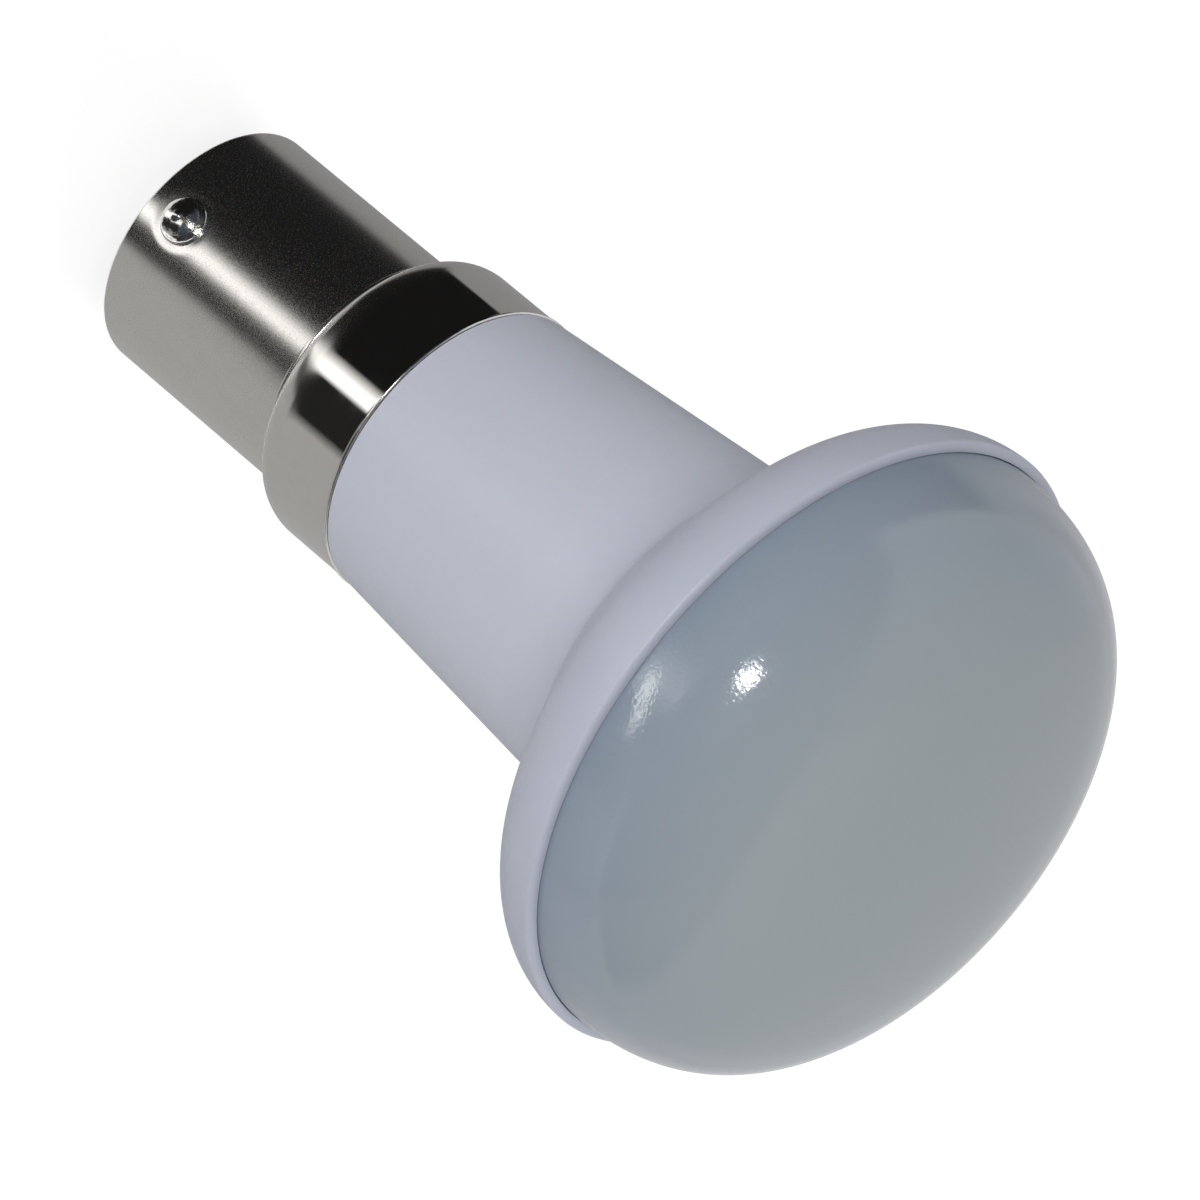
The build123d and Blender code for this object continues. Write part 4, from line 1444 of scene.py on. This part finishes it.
def soft_lamp(name, power):
    """A soft area lamp that lights the lamp and doesn't show in its gloss."""
    azimuth, elevation, distance_mm, size_mm = SOFT_LAMPS[name]
    data = bpy.data.lights.new(name, "AREA")
    data.shape = "DISK"
    data.size = size_mm * MM
    data.energy = power
    lamp = linked(name, data)
    towards = direction(azimuth, elevation)
    lamp.location = LAMP_MIDDLE + towards * distance_mm * MM
    lamp.rotation_euler = towards.to_track_quat("Z", "Y").to_euler()
    lamp.visible_glossy = False
    return lamp


def make_flash(stage):
    """A small lamp that only shows in the gloss, as the spot on the lens and on the pin."""
    flash = soft_lamp("flash", stage.flash)
    flash.data.shape = "ELLIPSE"
    flash.data.size_y = FLASH_HEIGHT * MM
    flash.visible_glossy = True
    flash.visible_diffuse = False


def seen_in_gloss_only(thing):
    for ray in ("camera", "diffuse", "transmission", "volume_scatter", "shadow"):
        setattr(thing, f"visible_{ray}", False)


def glow_material():
    """Light in the colours that a card's points carry."""
    material = bpy.data.materials.get("card_glow")
    if material:
        return material
    material = bpy.data.materials.new("card_glow")
    tree = cleared(material)
    tint = node(tree, "ShaderNodeAttribute", attribute_name="glow").outputs["Color"]
    light = node(tree, "ShaderNodeEmission", {"Color": tint})
    node(tree, "ShaderNodeOutputMaterial", {"Surface": light.outputs[0]})
    return material


def card(name, rows, tints):
    """A sheet through rows of points, in millimetres, that only shows in the lamp's gloss.

    Each row has a colour, or a colour for each of its points, and the colours blend."""
    width = len(rows[0])
    points = [tuple(part * MM for part in point) for row in rows for point in row]
    faces = [
        (r * width + c, r * width + c + 1, (r + 1) * width + c + 1, (r + 1) * width + c)
        for r in range(len(rows) - 1)
        for c in range(width - 1)
    ]
    mesh = bpy.data.meshes.new(name)
    mesh.from_pydata(points, [], faces)
    glow = mesh.attributes.new("glow", "FLOAT_COLOR", "POINT")
    for at in range(len(points)):
        tint = tints[at // width]
        if isinstance(tint, list) and isinstance(tint[0], tuple):
            tint = tint[at % width]
        glow.data[at].color = (*tint, 1.0)
    mesh.materials.append(glow_material())
    seen_in_gloss_only(linked(name, mesh))


def mirrored(radius, normal, height):
    """The floor point that the camera sees mirrored in the upright cap, and its direction.

    A point of the cap is given by its radius, the azimuth of its normal and its height."""
    turned_to = 2 * normal + 180 - VIEW_AZIMUTH
    away = (height - FLOOR_Z) / math.tan(math.radians(VIEW_DROP))
    onward = direction(turned_to, 0)
    return direction(normal, 0) * radius + onward * away, onward


def band_line(on_barrel, on_skirt):
    """A line on the floor that shows on the cap as a straight line along the axis."""
    cap = bpy.context.scene.lamp_cap
    skirt_z = STEP_Z + cap.shoulder
    points = [mirrored(cap.barrel, on_barrel, height)[0] for height in BARREL_HEIGHTS]
    points += [mirrored(cap.skirt, on_skirt, skirt_z + above)[0] for above in ABOVE_SHOULDER]
    last, onward = mirrored(cap.skirt, on_skirt, LIP_Z)
    points += [last + onward * further for further in PAST_LIP]
    return [(point.x, point.y, FLOOR_Z + BANDS_ABOVE_FLOOR) for point in points]


def line_tints(on_skirt, tint):
    """The colours along a line: the streak is dim in places, and the sides are pale far out."""
    streak = STREAK[0] < on_skirt < STREAK[1]
    side = not SIDES[0] < on_skirt < SIDES[1]
    tints = []
    for at, limit in enumerate(STREAK_LIMITS):
        made = tuple(min(part, limit) if streak else part for part in tint)
        tints.append(PALE_SIDE if side and at >= PALE_FROM else made)
    return tints


# A painted dark reflection behind the lamp's foot: a dim glowing sheet that only the gloss shows, as two
# rows of points in millimetres
BEHIND_LAMP = [[(-7.8, 1.0), (7.8, 1.0)], [(-8.4, 27.0), (7.0, 27.0)]]
PAINTED_DARK_REFLECTION = (0.16, 0.16, 0.16)


def make_painted_reflection_bands():
    """Painted reflections: dark and bright glowing bands round the lamp's foot that only the gloss shows,
    laid out so that the cap mirrors them for the camera.
    """
    rows, tints = [], []
    for first, second in zip(FLOOR_LINES, FLOOR_LINES[1:]):
        steps = max(1, int(abs(second[0] - first[0]) / BAND_STEP))
        for step in range(steps):
            part = step / steps
            mixed = [a + (b - a) * part for a, b in zip(first, second)]
            rows.append(band_line(mixed[0], mixed[1]))
            tints.append(line_tints(mixed[1], mixed[2:]))
    last = FLOOR_LINES[-1]
    rows.append(band_line(last[0], last[1]))
    tints.append(line_tints(last[1], last[2:]))
    # Painted reflections: the bands are a glowing sheet that only the gloss shows.
    card("painted_reflection_bands", rows, tints)
    # Painted dark reflection: a dim sheet just above the floor that only the gloss shows.
    behind = [[(x, y, FLOOR_Z + 0.1) for x, y in row] for row in BEHIND_LAMP]
    card("painted_dark_behind", behind, [PAINTED_DARK_REFLECTION] * 2)


def painted_reflection_card(name, start, end, levels):
    """A glowing part of a dome round the lamp, a painted reflection that only the gloss shows, with its
    colour at some elevations.
    """
    radius, columns, degrees_a_row = 900.0, 24, 6
    across = [start + (end - start) * step / columns for step in range(columns + 1)]
    rows, tints = [], []
    for (low, *first), (high, *second) in zip(levels, levels[1:]):
        steps = max(1, int((high - low) / degrees_a_row))
        for step in range(steps + 1):
            part = step / steps
            elevation = low + (high - low) * part
            rows.append([tuple(direction(azimuth, elevation) * radius) for azimuth in across])
            tints.append([a + (b - a) * part for a, b in zip(first, second)])
    card(name, rows, tints)


def seen_rays(tree):
    """1 for what the camera, gloss or clear plastic sees, and 0 for light on its way."""
    rays = node(tree, "ShaderNodeLightPath").outputs
    kinds = [rays[f"Is {kind} Ray"] for kind in ("Camera", "Glossy", "Transmission")]
    return maths(tree, "MAXIMUM", *kinds)


def make_floor(stage):
    """A wide pale floor that the camera sees as white and that keeps the lamp's shadow."""
    half, seen_shade, seen_lift = 4.0, 0.4, 0.78
    mesh = bpy.data.meshes.new("floor")
    corners = [(x * half, y * half, FLOOR_Z * MM) for x, y in ((-1, -1), (1, -1), (1, 1), (-1, 1))]
    mesh.from_pydata(corners, [], [(0, 1, 2, 3)])
    material = bpy.data.materials.new("floor")
    tree = cleared(material)
    seen = seen_rays(tree)
    shade = blend_of(tree, seen, rgba(stage.floor), rgba(stage.floor, seen_shade))
    paint = node(tree, "ShaderNodeBsdfDiffuse", {"Color": shade})
    lift = node(tree, "ShaderNodeEmission", {"Strength": maths(tree, "MULTIPLY", seen, seen_lift)})
    lit = node(tree, "ShaderNodeAddShader", {0: paint.outputs[0], 1: lift.outputs[0]})
    below = node(tree, "ShaderNodeNewGeometry").outputs["Backfacing"]
    clear = node(tree, "ShaderNodeBsdfTransparent")
    both = node(tree, "ShaderNodeMixShader", {0: below, 1: lit.outputs[0], 2: clear.outputs[0]})
    node(tree, "ShaderNodeOutputMaterial", {"Surface": both.outputs[0]})
    mesh.materials.append(material)
    floor = linked("floor", mesh)


def make_world(stage):
    """Even light, and white wherever the camera, gloss or glass sees past the floor."""
    world = bpy.data.worlds.new("studio")
    bpy.context.scene.world = world
    tree = cleared(world)
    level = ranged(tree, seen_rays(tree), 0.0, 1.0, stage.ambient, 1.0)
    light = node(tree, "ShaderNodeBackground", {"Color": rgba((1.0, 1.0, 1.0)), "Strength": level})
    node(tree, "ShaderNodeOutputWorld", {"Surface": light.outputs[0]})


class LAMP_OT_stage(Operator):
    """Make the camera, the floor, the lamps and the cards that the gloss shows"""

    bl_idname = "lamp.stage"
    bl_label = "Stage"

    def execute(self, context):
        stage = context.scene.lamp_stage
        make_camera(stage)
        make_floor(stage)
        make_world(stage)
        soft_lamp("key", stage.key)
        soft_lamp("fill", stage.fill)
        soft_lamp("top", stage.top)
        make_flash(stage)
        make_painted_reflection_bands()
        for name, start, end, levels in PAINTED_REFLECTION_CARDS:
            painted_reflection_card(name, start, end, levels)
        # A painted glint: a bright glowing sheet that only the gloss shows.
        card("painted_glint", PAINTED_GLINT, [PAINTED_GLINT_LIGHT] * 2)
        context.scene.view_settings.view_transform = "Standard"
        return {"FINISHED"}


SETTINGS = {
    "lamp_cap": CapSettings,
    "lamp_pin": PinSettings,
    "lamp_contact": ContactSettings,
    "lamp_housing": HousingSettings,
    "lamp_lens": LensSettings,
    "lamp_inside": InsideSettings,
    "lamp_stage": StageSettings,
}
OPERATORS = [
    LAMP_OT_cap,
    LAMP_OT_pins,
    LAMP_OT_contact,
    LAMP_OT_housing,
    LAMP_OT_lens,
    LAMP_OT_inside,
    LAMP_OT_stage,
]


class LAMP_PT_panel(Panel):
    """Lists the lamp's operators and settings"""

    bl_idname = "LAMP_PT_panel"
    bl_label = "Reading Lamp"
    bl_space_type = "VIEW_3D"
    bl_region_type = "UI"
    bl_category = "Reading Lamp"

    def draw(self, context):
        for operator in OPERATORS:
            self.layout.operator(operator.bl_idname)
        for name in SETTINGS:
            box = self.layout.box()
            settings = getattr(context.scene, name)
            for entry in settings.__annotations__:
                box.prop(settings, entry)


def register():
    for name, group in SETTINGS.items():
        bpy.utils.register_class(group)
        setattr(bpy.types.Scene, name, PointerProperty(type=group))
    for made in OPERATORS + [LAMP_PT_panel]:
        bpy.utils.register_class(made)


def unregister():
    for made in [LAMP_PT_panel] + OPERATORS[::-1]:
        bpy.utils.unregister_class(made)
    for name, group in SETTINGS.items():
        delattr(bpy.types.Scene, name)
        bpy.utils.unregister_class(group)


def main():
    register()
    for operator in OPERATORS:
        group, action = operator.bl_idname.split(".")
        getattr(getattr(bpy.ops, group), action)()


if __name__ == "__main__":
    main()
